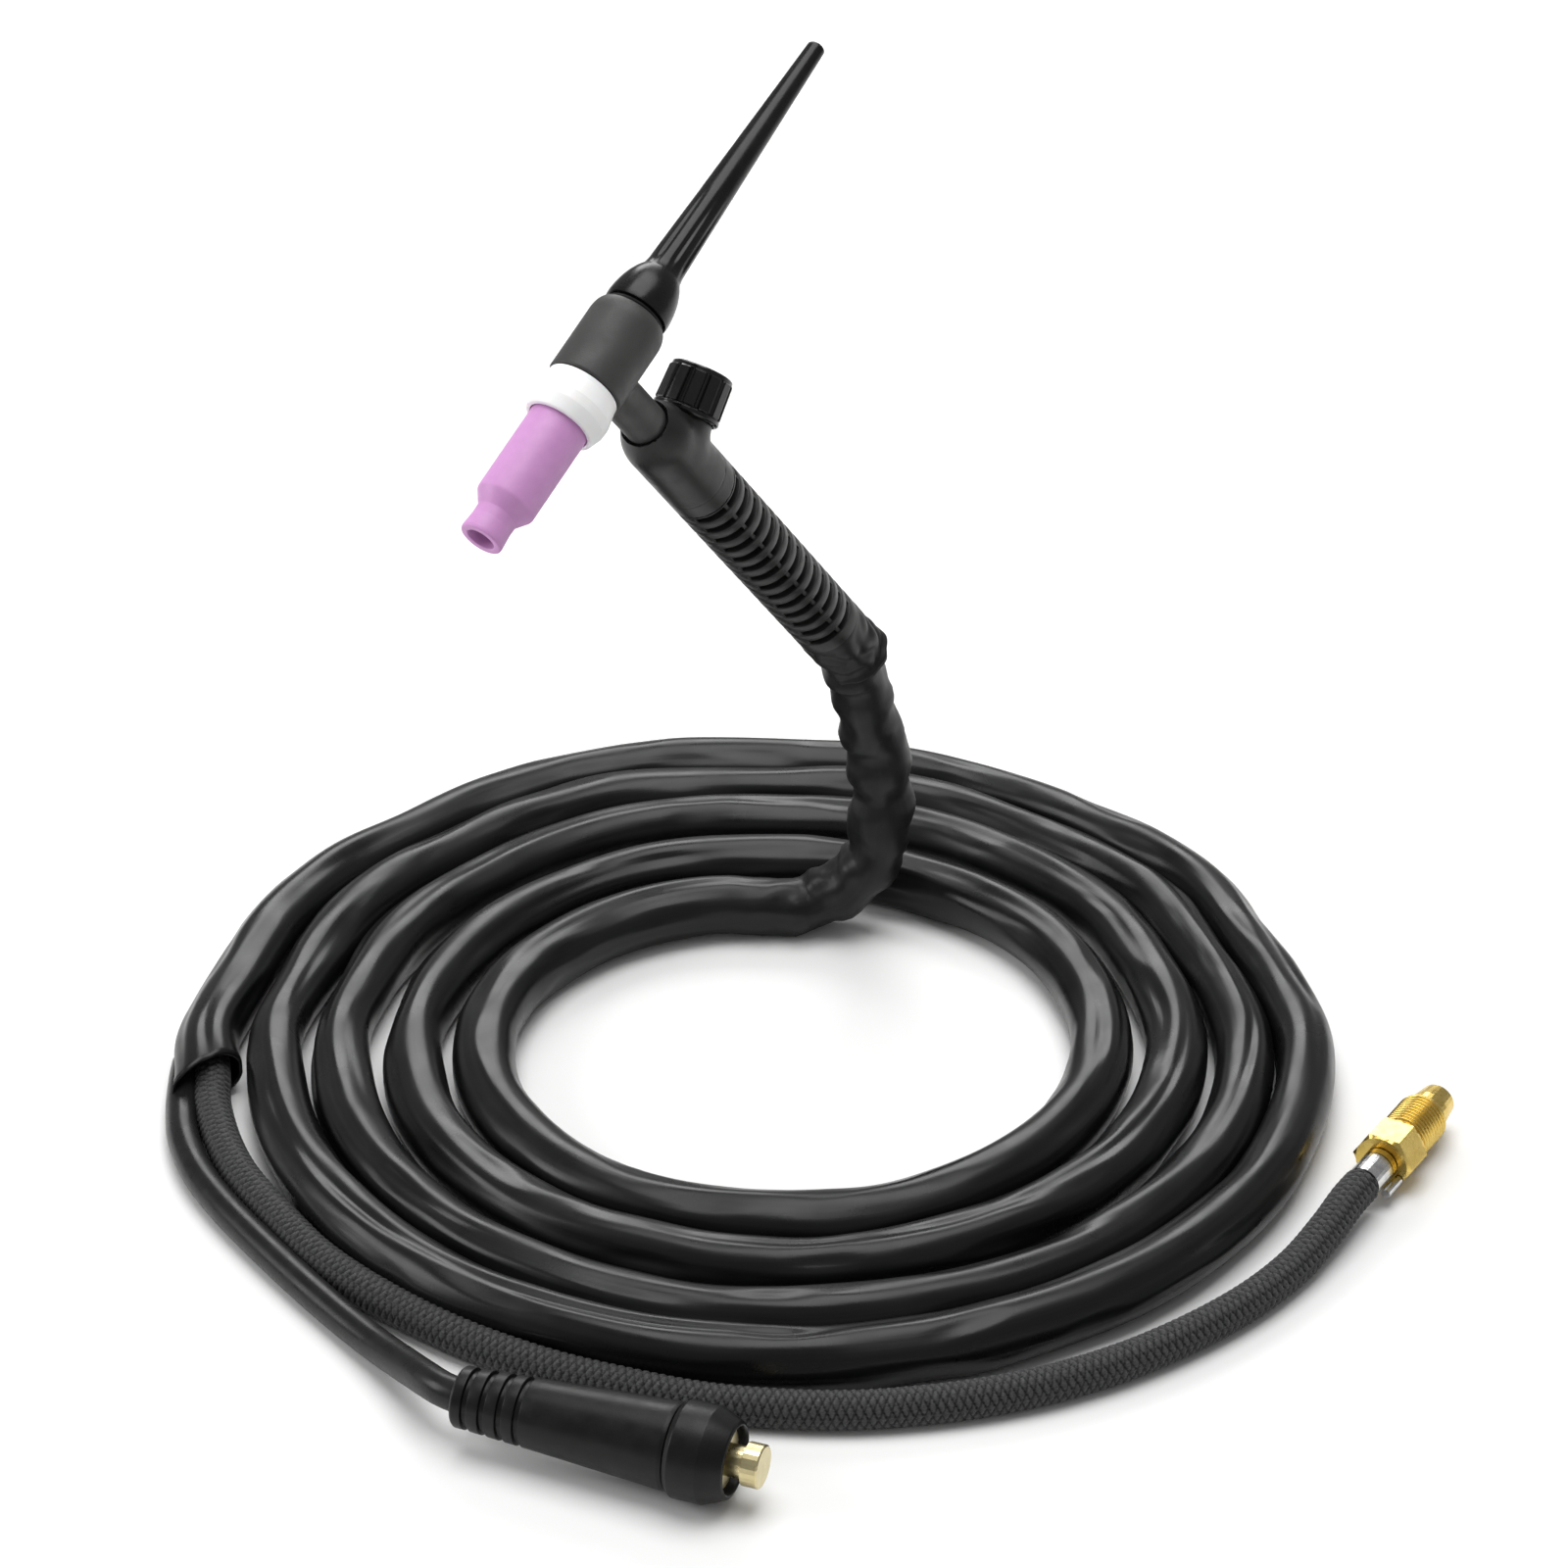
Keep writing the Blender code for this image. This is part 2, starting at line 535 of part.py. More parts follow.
def make_plug():
    """The bayonet plug: rubber cover, front ring, brass contact with its pin, screw and sleeve."""
    groove = []
    for number in range(4):
        middle, radius = 5.0 + 5.2 * number, 9.0 + 0.25 * number
        groove += [(radius, middle - 0.5), (radius - 1.0, middle - 0.3), (radius - 1.0, middle + 0.3),
                   (radius + 0.1, middle + 0.5)]
    cover = [(5.4, 0.0), (8.4, 0.0), (8.9, 0.7)] + groove + [(12.4, 64.7), (9.3, 64.7), (9.3, 24.0), (5.4, 18.0)]
    turned("plug_cover", cover, black_rubber(), PLUG_FRAME, 36)
    radius, front = PLUG_R / MM, PLUG_LENGTH / MM
    ring = [(9.3, 65.0), (12.9, 65.0), (radius, 66.2), (radius, 74.5), (10.6, front), (9.4, front),
            (9.3, front - 1.0)]
    turned("plug_front_ring", ring, black_rubber(), PLUG_FRAME, 36)
    contact = [(0.0, 26.0), (8.0, 26.0), (9.0, 27.0), (9.0, 79.0), (8.5, 79.4), (4.6, 79.4), (4.6, 84.6),
               (5.0, 85.2), (6.2, 85.2), (6.2, 89.6), (5.8, 90.0), (0.0, 90.0)]
    body = turned("plug_contact", contact, brass(), PLUG_FRAME, 28)
    combine(body, cutter("contact_socket", 5.3, 20.0, 58.0, PLUG_FRAME, 20), "DIFFERENCE")
    across = PLUG_FRAME @ Matrix.Translation((0.0, 0.0, 40.0 * MM)) @ Matrix.Rotation(math.pi / 2, 4, "Y")
    combine(body, cutter("contact_screw_hole", 2.8, 0.0, 12.0, across, 16), "DIFFERENCE")
    screw = [(0.0, 5.4), (2.5, 5.4), (2.5, 8.8), (1.2, 8.8), (1.2, 7.2), (0.0, 7.2)]
    turned("plug_clamp_screw", screw, steel(), across, 12)
    rod("plug_cable_sleeve", 5.0, 26.3, 57.0, copper(), PLUG_FRAME, 20)


def make_union():
    """The hose ferrule, the hose tail with its smooth nose, and the nut that turns on it."""
    rod("hose_ferrule", 5.2, 0.3, 9.6, steel(), UNION_FRAME, 28, bore=3.3)
    tail = [(1.8, 1.0), (3.0, 1.0), (3.0, 9.9), (5.3, 9.9), (5.3, 12.2), (4.2, 12.2), (4.2, 42.6),
            (6.3, 43.1), (6.3, 46.0), (5.5, 52.0), (4.6, 52.4), (1.8, 52.4)]
    turned("hose_tail", tail, brass(), UNION_FRAME, 28)
    corner = UNION_HEX_FLAT / MM / math.cos(math.pi / 6)
    hexagon = turned("gas_nut", [(0.0, 12.6), (corner - 0.8, 12.6), (corner, 13.4), (corner, 24.0),
                                 (corner - 0.8, 24.8), (0.0, 24.8)], brass(),
                     UNION_FRAME @ Matrix.Rotation(math.pi / 6, 4, "Z"), 6)
    radius = UNION_THREAD_R / MM
    thread = [(0.0, 20.0), (radius, 20.0)]
    for turn in range(9):
        base = 25.0 + 1.85 * turn
        thread += [(radius, base + 0.1), (radius - 0.9, base + 0.9), (radius, base + 1.7)]
    thread += [(radius - 0.8, 42.6), (0.0, 42.6)]
    combine(hexagon, turned("thread_guide", thread, None, UNION_FRAME, 24), "UNION")
    combine(hexagon, cutter("nut_bore", 4.6, 0.0, 60.0, UNION_FRAME, 20), "DIFFERENCE")
    place = UNION_FRAME @ Matrix.Translation((-3.7 * MM, 6.0 * MM, 0.0))
    rod("nut_pin", 1.45, 3.6, 12.3, steel(), place, 14)


def main():
    clear_scene()
    make_head_jacket()
    make_torch_core()
    make_heat_shield()
    make_gas_nozzle()
    make_collet_body()
    make_collet()
    make_back_cap()
    make_valve_block()
    make_handle_grip()
    make_cable_boot()
    make_valve()
    make_valve_knob()
    make_handle_inside()
    make_cable_coil()
    make_cables()
    make_plug()
    make_union()


main()
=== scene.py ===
"""Looks of the gas-valve TIG torch and its coiled cable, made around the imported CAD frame.

Sizes are in millimetres in this script and become metres when a mesh is made. The row frame has
its origin in the middle of the ribbed grip, +Z up, and the torch's mirror plane at Y = 0.
"""
import math

import bmesh
import bpy
import numpy as np
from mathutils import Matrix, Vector, noise


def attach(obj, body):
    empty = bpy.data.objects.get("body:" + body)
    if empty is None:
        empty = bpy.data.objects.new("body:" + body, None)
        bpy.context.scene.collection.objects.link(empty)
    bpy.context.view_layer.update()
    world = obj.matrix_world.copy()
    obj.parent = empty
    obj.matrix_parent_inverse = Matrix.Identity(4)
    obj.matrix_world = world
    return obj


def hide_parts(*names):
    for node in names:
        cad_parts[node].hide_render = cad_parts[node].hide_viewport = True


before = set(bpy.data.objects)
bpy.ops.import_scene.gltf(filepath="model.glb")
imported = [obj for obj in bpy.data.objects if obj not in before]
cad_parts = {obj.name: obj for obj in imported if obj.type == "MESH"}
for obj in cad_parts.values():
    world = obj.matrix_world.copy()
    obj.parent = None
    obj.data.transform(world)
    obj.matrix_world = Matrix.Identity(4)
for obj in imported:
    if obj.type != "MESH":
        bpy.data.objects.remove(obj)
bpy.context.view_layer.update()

MM = 0.001
TAU = 2.0 * math.pi
FLOOR_Z = -162.5

# Driving sizes of the torch
HEAD_ALONG_GRIP = 126.0
VALVE_ALONG_GRIP = 75.0
GRIP_RADIUS = 10.6
NECK_RADIUS = 6.4
HEAD_RADIUS = 11.4
BOSS_RADIUS = 8.7
BOSS_TOP = 11.4
KNOB_LOW = 10.9
KNOB_TOP = 25.2

# The hose's braid: strands in each direction, and the length of one whole turn of a strand
BRAID_STRANDS = 6.0
BRAID_LEAD = 15.0

# ---------------------------------------------------------------- frames of the torch's parts


def axis_frame(origin, along, across):
    """A 4x4 placement whose +Z runs along the axis and whose +X is near across, in mm."""
    z = np.array(along, float) / np.linalg.norm(along)
    x = np.array(across, float) - z * np.dot(across, z)
    x /= np.linalg.norm(x)
    made = np.eye(4)
    made[:3, 0], made[:3, 1], made[:3, 2], made[:3, 3] = x, np.cross(z, x), z, origin
    return made


GRIP_TILT = math.radians(49.0)
CAP_TILT = math.radians(30.0)
VALVE_LEAN = math.radians(8.0)
GRIP_AXIS = np.array((math.cos(GRIP_TILT), 0.0, math.sin(GRIP_TILT)))
GRIP_NORMAL = np.array((-math.sin(GRIP_TILT), 0.0, math.cos(GRIP_TILT)))
CAP_AXIS = np.array((-math.cos(CAP_TILT), 0.0, math.sin(CAP_TILT)))
VALVE_AXIS = GRIP_NORMAL * math.cos(VALVE_LEAN) + GRIP_AXIS * math.sin(VALVE_LEAN)
PLUG_HEADING = math.radians(105.0)
UNION_HEADING = math.radians(183.7)
PLUG_AXIS = np.array((math.cos(PLUG_HEADING), math.sin(PLUG_HEADING), 0.0))
UNION_AXIS = np.array((math.cos(UNION_HEADING), math.sin(UNION_HEADING), 0.0))
UP = (0.0, 0.0, 1.0)

GRIP = axis_frame((0.0, 0.0, 0.0), GRIP_AXIS, GRIP_NORMAL)
HEAD = axis_frame(HEAD_ALONG_GRIP * GRIP_AXIS, CAP_AXIS, UP)
VALVE = axis_frame(VALVE_ALONG_GRIP * GRIP_AXIS, VALVE_AXIS, GRIP_AXIS)
PLUG = axis_frame((224.0, 54.5, -148.6), PLUG_AXIS, UP)
UNION = axis_frame((-16.7, 204.4, -153.6), UNION_AXIS, UP)

# ---------------------------------------------------------------- camera

CAMERA_PLACE = (1.0323, 0.7413, 0.6654)
CAMERA_LOOKS = (-0.7029, -0.5013, -0.5046)
CAMERA_LENS = 109.69


def make_camera():
    """The photograph's view: from the torch's left front, about 30 degrees down."""
    data = bpy.data.cameras.new("camera")
    data.sensor_width = 36.0
    data.lens = CAMERA_LENS
    data.clip_start = 0.05
    camera = bpy.data.objects.new("camera", data)
    bpy.context.scene.collection.objects.link(camera)
    camera.location = CAMERA_PLACE
    camera.rotation_euler = Vector(CAMERA_LOOKS).to_track_quat("-Z", "Y").to_euler()
    bpy.context.scene.camera = camera


# ---------------------------------------------------------------- materials


class Skin:
    """A Principled material under construction. Its textures are read in metres."""

    def __init__(self, name, **values):
        self.material = bpy.data.materials.new(name)
        self.material.use_nodes = True
        self.tree = self.material.node_tree
        self.shader = self.tree.nodes["Principled BSDF"]
        self.normal = None
        for socket, value in values.items():
            self.shader.inputs[socket.replace("_", " ")].default_value = value

    def node(self, kind, settings=None, **inputs):
        made = self.tree.nodes.new("ShaderNode" + kind)
        for key, value in (settings or {}).items():
            setattr(made, key, value)
        for key, value in inputs.items():
            self.feed(made.inputs[key.replace("_", " ")], value)
        return made

    def feed(self, socket, value):
        if isinstance(value, bpy.types.NodeSocket):
            self.tree.links.new(value, socket)
        else:
            socket.default_value = value

    def place(self, stretch=(1.0, 1.0, 1.0), source="Object"):
        where = self.node("TexCoord").outputs[source]
        return self.node("Mapping", Vector=where, Scale=stretch).outputs["Vector"]

    def noise(self, scale, detail=2.0, where=None, distortion=0.0):
        where = self.place() if where is None else where
        made = self.node("TexNoise", Vector=where, Scale=scale, Detail=detail, Distortion=distortion)
        return made.outputs["Fac"]

    def tool_lines(self, axis, scale):
        """Noise that varies only along an axis, as the marks of a lathe do."""
        across = self.node("VectorMath", {"operation": "DOT_PRODUCT"})
        self.feed(across.inputs[0], self.place())
        self.feed(across.inputs[1], tuple(axis))
        along = self.node("CombineXYZ", X=across.outputs["Value"]).outputs["Vector"]
        return self.noise(scale, 2.0, where=along)

    def ramp(self, value, low, high, to_low, to_high):
        """A value stretched from one range to another."""
        made = self.node("MapRange", Value=value, From_Min=low, From_Max=high,
                         To_Min=to_low, To_Max=to_high)
        return made.outputs["Result"]

    def maths(self, operation, a, b):
        made = self.node("Math", {"operation": operation})
        self.feed(made.inputs[0], a)
        self.feed(made.inputs[1], b)
        return made.outputs["Value"]

    def tint(self, value, dark, light, low=0.35, high=0.65):
        """Colour between two by a noise value."""
        ramp = self.node("ValToRGB", Fac=value)
        ramp.color_ramp.elements[0].position = low
        ramp.color_ramp.elements[1].position = high
        ramp.color_ramp.elements[0].color = (*dark, 1.0)
        ramp.color_ramp.elements[1].color = (*light, 1.0)
        self.feed(self.shader.inputs["Base Color"], ramp.outputs["Color"])

    def rough(self, value, low, high):
        self.feed(self.shader.inputs["Roughness"], self.ramp(value, 0.3, 0.7, low, high))

    def bump(self, height, depth, strength=1.0):
        """Add relief of a depth in mm to the surface."""
        made = self.node("Bump", Height=height, Distance=depth * MM, Strength=strength)
        if self.normal is not None:
            self.feed(made.inputs["Normal"], self.normal)
        self.normal = made.outputs["Normal"]
        self.feed(self.shader.inputs["Normal"], self.normal)


def moulded(name, dark, light, rough, grain=0.05, gloss=0.4):
    """Glass-filled or phenolic moulding: fine grain, faint flow marks and uneven gloss."""
    skin = Skin(name, Specular_IOR_Level=gloss)
    skin.tint(skin.noise(70.0, 4.0, distortion=0.4), dark, light)
    skin.rough(skin.noise(240.0, 3.0), *rough)
    skin.bump(skin.noise(2600.0, 2.0), grain)
    skin.bump(skin.noise(110.0, 2.0), 0.12, 0.35)
    return skin.material


def metal(name, dark, light, rough, where):
    """Turned metal: lathe lines round the axis, tarnish and small handling marks."""
    skin = Skin(name, Metallic=1.0)
    skin.tint(skin.noise(260.0, 4.0, distortion=0.6), dark, light)
    skin.rough(skin.noise(420.0, 4.0), *rough)
    skin.bump(skin.tool_lines(where[:3, 2], 3200.0), 0.004)
    skin.bump(skin.noise(900.0, 2.0), 0.002, 0.6)
    return skin.material


def rubber_skin(name, dark, light, rough, grain=0.03):
    """Black rubber: fine grain over faint swells, unevenly satin."""
    skin = Skin(name, Specular_IOR_Level=0.24)
    skin.tint(skin.noise(160.0, 4.0), dark, light)
    skin.rough(skin.noise(180.0, 4.0, distortion=0.5), *rough)
    skin.bump(skin.noise(1800.0, 3.0), grain)
    skin.bump(skin.noise(140.0, 2.0), 0.15, 0.3)
    return skin.material


def cover_material():
    """Soft black vinyl: faint streaks along it, uneven gloss, and matt where it hangs gathered.

    Its UV is the share of the way round, and the metres along.
    """
    skin = Skin("cover_vinyl", Specular_IOR_Level=0.26, Coat_Weight=0.08, Coat_Roughness=0.2)
    streak = skin.noise(1.0, 3.0, where=skin.place((26.0, 9.0, 1.0), "UV"))
    skin.tint(streak, (0.0035, 0.0035, 0.0038), (0.0075, 0.0074, 0.0075))
    uneven = skin.ramp(skin.noise(55.0, 4.0, distortion=0.3), 0.3, 0.7, 0.24, 0.38)
    along = skin.node("SeparateXYZ", Vector=skin.place(source="UV")).outputs["Y"]
    matt = skin.ramp(along, 0.09, 0.17, 0.20, 0.0)
    skin.feed(skin.shader.inputs["Roughness"], skin.maths("ADD", uneven, matt))
    skin.bump(streak, 0.10, 0.5)
    skin.bump(skin.noise(1500.0, 3.0), 0.015)
    return skin.material


def braid_material():
    """Matt braided yarn: fine filaments, with painted shade darkening the edges of each strand, in the
    valleys between strands.

    Its UV is the share of the way round, and the metres along.
    """
    skin = Skin("hose_braid", Roughness=0.7, Specular_IOR_Level=0.5, Sheen_Weight=0.12,
                Sheen_Roughness=0.4)
    fibre = skin.noise(1.0, 3.0, where=skin.place((260.0, 900.0, 1.0), "UV"))
    spot = skin.node("SeparateXYZ", Vector=skin.place(source="UV"))
    edges = []
    for way in (1.0, -1.0):
        turn = skin.maths("MULTIPLY", spot.outputs["Y"], way / (BRAID_LEAD * MM))
        strand = skin.maths("MULTIPLY", skin.maths("ADD", spot.outputs["X"], turn), BRAID_STRANDS)
        edges.append(skin.maths("PINGPONG", strand, 0.5))
    # painted shade: the yarn colour is darkened near each strand's edges, where the valleys between
    # crossing strands lie in shadow
    near_edge = skin.maths("MINIMUM", *edges)
    fibre_and_painted_shade = skin.maths("MULTIPLY", fibre, skin.ramp(near_edge, 0.01, 0.2, 0.6, 1.12))
    skin.tint(fibre_and_painted_shade, (0.002, 0.002, 0.0024), (0.055, 0.055, 0.057), 0.34, 0.66)
    skin.rough(skin.noise(900.0, 2.0), 0.50, 0.80)
    skin.bump(fibre, 0.16)
    return skin.material


def ceramic_material():
    """Pink fired alumina: satin, very finely pitted, with a slightly chalky tone."""
    skin = Skin("alumina", Specular_IOR_Level=0.45, Subsurface_Weight=0.12, Subsurface_Scale=0.0015)
    skin.shader.inputs["Subsurface Radius"].default_value = (1.0, 0.5, 0.8)
    skin.tint(skin.noise(300.0, 5.0), (0.570, 0.275, 0.560), (0.605, 0.298, 0.592), 0.3, 0.7)
    skin.rough(skin.noise(500.0, 3.0), 0.40, 0.55)
    skin.bump(skin.noise(3500.0, 3.0), 0.03)
    skin.bump(skin.noise(500.0, 2.0), 0.04, 0.5)
    return skin.material


def ptfe_material():
    """White turned fluoropolymer with faint tool lines round its axis."""
    skin = Skin("ptfe", Specular_IOR_Level=0.4, Subsurface_Weight=0.15, Subsurface_Scale=0.002)
    skin.tint(skin.noise(220.0, 3.0), (0.93, 0.935, 0.93), (0.96, 0.965, 0.96))
    skin.rough(skin.noise(300.0, 3.0), 0.32, 0.45)
    skin.bump(skin.tool_lines(CAP_AXIS, 2200.0), 0.02)
    return skin.material


MATTE = moulded("grip_moulding", (0.007, 0.007, 0.0068), (0.012, 0.012, 0.0117), (0.34, 0.46))
HEAD_MATTE = moulded("head_moulding", (0.038, 0.0375, 0.037), (0.050, 0.049, 0.048),
                     (0.44, 0.58), 0.06)
GLOSS = moulded("cap_phenolic", (0.004,) * 3, (0.008,) * 3, (0.20, 0.32), 0.012, 0.3)
KNOB_GLOSS = moulded("knob_phenolic", (0.004,) * 3, (0.007,) * 3, (0.12, 0.22), 0.015)
RUBBER = rubber_skin("plug_rubber", (0.004,) * 3, (0.007,) * 3, (0.30, 0.42))
LEAD = rubber_skin("lead_jacket", (0.008,) * 3, (0.012,) * 3, (0.24, 0.34), 0.012)
O_RING = rubber_skin("o_ring_rubber", (0.012,) * 3, (0.018,) * 3, (0.38, 0.5))
COVER = cover_material()
BRAID = braid_material()
ALUMINA = ceramic_material()
PTFE = ptfe_material()
BRASS_HEAD = metal("brass_head", (0.70, 0.50, 0.20), (0.80, 0.61, 0.28), (0.24, 0.36), HEAD)
BRASS_PLUG = metal("brass_plug", (0.64, 0.55, 0.30), (0.71, 0.62, 0.36), (0.26, 0.33), PLUG)
BRASS_UNION = metal("brass_union", (0.70, 0.50, 0.13), (0.77, 0.57, 0.17), (0.24, 0.31), UNION)
COPPER = metal("copper", (0.72, 0.38, 0.25), (0.86, 0.50, 0.36), (0.22, 0.34), HEAD)
STEEL = metal("nickel_steel", (0.55,) * 3, (0.72,) * 3, (0.16, 0.28), UNION)

# ---------------------------------------------------------------- mesh tools


def finish_piece(name, mesh, skin, body, replaced=()):
    """Put a mesh in the scene as a visual piece that rides a body."""
    made = bpy.data.objects.new(name, mesh)
    bpy.context.scene.collection.objects.link(made)
    mesh.materials.append(skin)
    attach(made, body)
    if replaced:
        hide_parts(*replaced)
    return made


def mesh_of(name, points, faces, where=None, uv=None):
    """A smooth-shaded mesh from points in mm, placed by a frame if one is given."""
    points = np.asarray(points, float)
    if where is not None:
        points = points @ where[:3, :3].T + where[:3, 3]
    mesh = bpy.data.meshes.new(name)
    mesh.from_pydata((points * MM).tolist(), [], faces)
    mesh.update()
    mesh.shade_smooth()
    if uv is not None:
        layer = mesh.uv_layers.new(name="UVMap")
        spots = np.empty(len(mesh.loops), int)
        mesh.loops.foreach_get("vertex_index", spots)
        layer.data.foreach_set("uv", np.asarray(uv, float)[spots].ravel())
    return mesh


def fillet(corners, steps=5):
    """A profile from (radius, height, fillet) corners, with each corner turned into an arc."""
    points = []
    count = len(corners)
    for i, corner in enumerate(corners):
        here = np.array(corner[:2], float)
        size = corner[2] if len(corner) > 2 else 0.0
        if size <= 0.0 or i in (0, count - 1):
            points.append(tuple(here))
            continue
        before = np.array(corners[i - 1][:2], float) - here
        after = np.array(corners[i + 1][:2], float) - here
        reach_a, reach_b = np.linalg.norm(before), np.linalg.norm(after)
        before /= reach_a
        after /= reach_b
        turn = math.acos(max(-1.0, min(1.0, float(np.dot(before, after)))))
        cut = min(size / math.tan(turn / 2.0), 0.49 * reach_a, 0.49 * reach_b)
        a, b = here + before * cut, here + after * cut
        for t in np.linspace(0.0, 1.0, steps):
            points.append(tuple((1 - t) ** 2 * a + 2 * t * (1 - t) * here + t**2 * b))
    return points


def lathe(profile, segments=96, shape=None):
    """Points and faces of a turned shape. A profile off the axis at both ends closes into a ring."""
    points, rows, faces = [], [], []
    angles = np.arange(segments) * TAU / segments
    for radius, height in profile:
        start = len(points)
        if radius < 1e-6:
            points.append((0.0, 0.0, height))
            rows.append([start])
            continue
        r = np.full(segments, float(radius)) if shape is None else shape(angles, radius, height)
        points.extend(zip(r * np.cos(angles), r * np.sin(angles), np.full(segments, height)))
        rows.append(list(range(start, start + segments)))
    pairs = list(zip(rows, rows[1:]))
    if len(rows[0]) > 1:
        pairs.append((rows[-1], rows[0]))
    for low, high in pairs:
        for i in range(segments):
            j = (i + 1) % segments
            if len(low) == 1:
                faces.append((low[0], high[j], high[i]))
            elif len(high) == 1:
                faces.append((low[i], low[j], high[0]))
            else:
                faces.append((low[i], low[j], high[j], high[i]))
    return points, faces


def outward(mesh):
    """Turn all faces outwards."""
    bm = bmesh.new()
    bm.from_mesh(mesh)
    bmesh.ops.recalc_face_normals(bm, faces=bm.faces)
    bm.to_mesh(mesh)
    bm.free()
    mesh.shade_smooth()


def turned(name, profile, skin, body, where, replaced=(), segments=96, shape=None, sharp=50.0):
    """A turned piece. Its shape function may change each ring's radius round the ring."""
    points, faces = lathe(profile, segments, shape)
    mesh = mesh_of(name, points, faces, where)
    outward(mesh)
    mesh.set_sharp_from_angle(angle=math.radians(sharp))
    return finish_piece(name, mesh, skin, body, replaced)


def catmull_rom(a, b, c, d, t):
    """The smooth curve from b at t = 0 to c at t = 1, with a and d as the points beyond them."""
    curved = (2 * a - 5 * b + 4 * c - d) * t**2 + (3 * b - a - 3 * c + d) * t**3
    return 0.5 * (2 * b + (c - a) * t + curved)


def smooth_route(route, spacing):
    """Evenly spaced points on a Catmull-Rom curve through a route, and how far along each is."""
    nodes = [np.array(p, float) for p in route]
    padded = [2 * nodes[0] - nodes[1]] + nodes + [2 * nodes[-1] - nodes[-2]]
    t = np.linspace(0.0, 1.0, 24, endpoint=False)[:, None]
    dense = [catmull_rom(a, b, c, d, t)
             for a, b, c, d in zip(padded, padded[1:], padded[2:], padded[3:])]
    dense = np.vstack(dense + [nodes[-1][None, :]])
    gone = np.concatenate(([0.0], np.cumsum(np.linalg.norm(np.diff(dense, axis=0), axis=1))))
    wanted = np.linspace(0.0, gone[-1], max(3, int(round(gone[-1] / spacing)) + 1))
    return np.stack([np.interp(wanted, gone, dense[:, k]) for k in range(3)], axis=1), wanted


def sweep_frames(points, centre):
    """Tangent, outward and upward directions along a route that winds round a centre."""
    t = np.gradient(points, axis=0)
    t /= np.linalg.norm(t, axis=1)[:, None]
    away = points - np.array(centre, float)
    away[:, 2] = 0.0
    n = away - t * np.sum(away * t, axis=1)[:, None]
    n /= np.linalg.norm(n, axis=1)[:, None]
    return t, n, np.cross(n, t)


def swept(path, n, up, across, above):
    """Points of a tube: each ring's offsets across and above its centre, in the ring's frame."""
    return path[:, None, :] + across[..., None] * n[:, None, :] + above[..., None] * up[:, None, :]


def tube_faces(rings, sides):
    faces = []
    for a in range(0, (rings - 1) * sides, sides):
        for j in range(sides):
            k = (j + 1) % sides
            faces.append((a + j, a + k, a + sides + k, a + sides + j))
    return faces


def closed_tube(rings, sides):
    """Faces of a tube with both of its ends closed."""
    faces = tube_faces(rings, sides)
    faces.append(tuple(range(sides))[::-1])
    faces.append(tuple((rings - 1) * sides + j for j in range(sides)))
    return faces


def tube_uv(around, gone):
    """The share of the way round, and the metres along, for each point of a tube."""
    return np.stack([np.tile(around / TAU, len(gone)), np.repeat(gone * MM, len(around))], axis=1)


def turbulence(where, octaves=1):
    """Noise from about -1 to 1 at each of many points, a unit apart at the first octave."""
    total = np.zeros(len(where))
    for octave in range(octaves):
        total += [noise.noise(Vector(p)) * 0.6**octave for p in (where * 2.0**octave)]
    return total


# ---------------------------------------------------------------- cables

COIL_CENTRE = (22.2, 17.1, 0.0)
COIL_START = math.radians(-144.5)
COIL_LEVEL = -153.3
COVER_R = 9.75
COVER_SIDES = 56
# Length of cover that hangs and bends before it comes to lie flat
HANG_LENGTH = 118.0
# Distance of the cover from the coil's centre at each quarter turn, inside to outside
QUARTER_RADII = [80.0, 89.6, 98.0, 102.0, 106.0, 111.6, 120.0, 125.2, 134.0, 133.6,
                 144.8, 146.4, 153.4, 153.4, 163.0, 164.4, 171.5, 174.6, 181.0]
COIL_TURNS = 4.27
# Kinks of the coil: heading in degrees, push outwards in mm, half width in degrees
KINKS = [(143.0, -6.0, 11.0), (178.0, -3.4, 15.0), (-144.0, -3.2, 9.0), (-122.0, 2.4, 9.0),
         (-97.0, -1.4, 7.0), (-85.0, 1.4, 7.0), (-69.0, -2.0, 7.0), (-57.0, 1.6, 7.5)]
# Heading at which every turn is pinched, so that slits of floor show between the turns
PINCH = math.radians(-60.0)
# Creases along the lying sleeve: angle from its outer side, depth in mm, half width in radians
CREASES = [(1.15, 0.75, 0.20), (2.05, 0.60, 0.24), (0.35, 0.55, 0.22)]

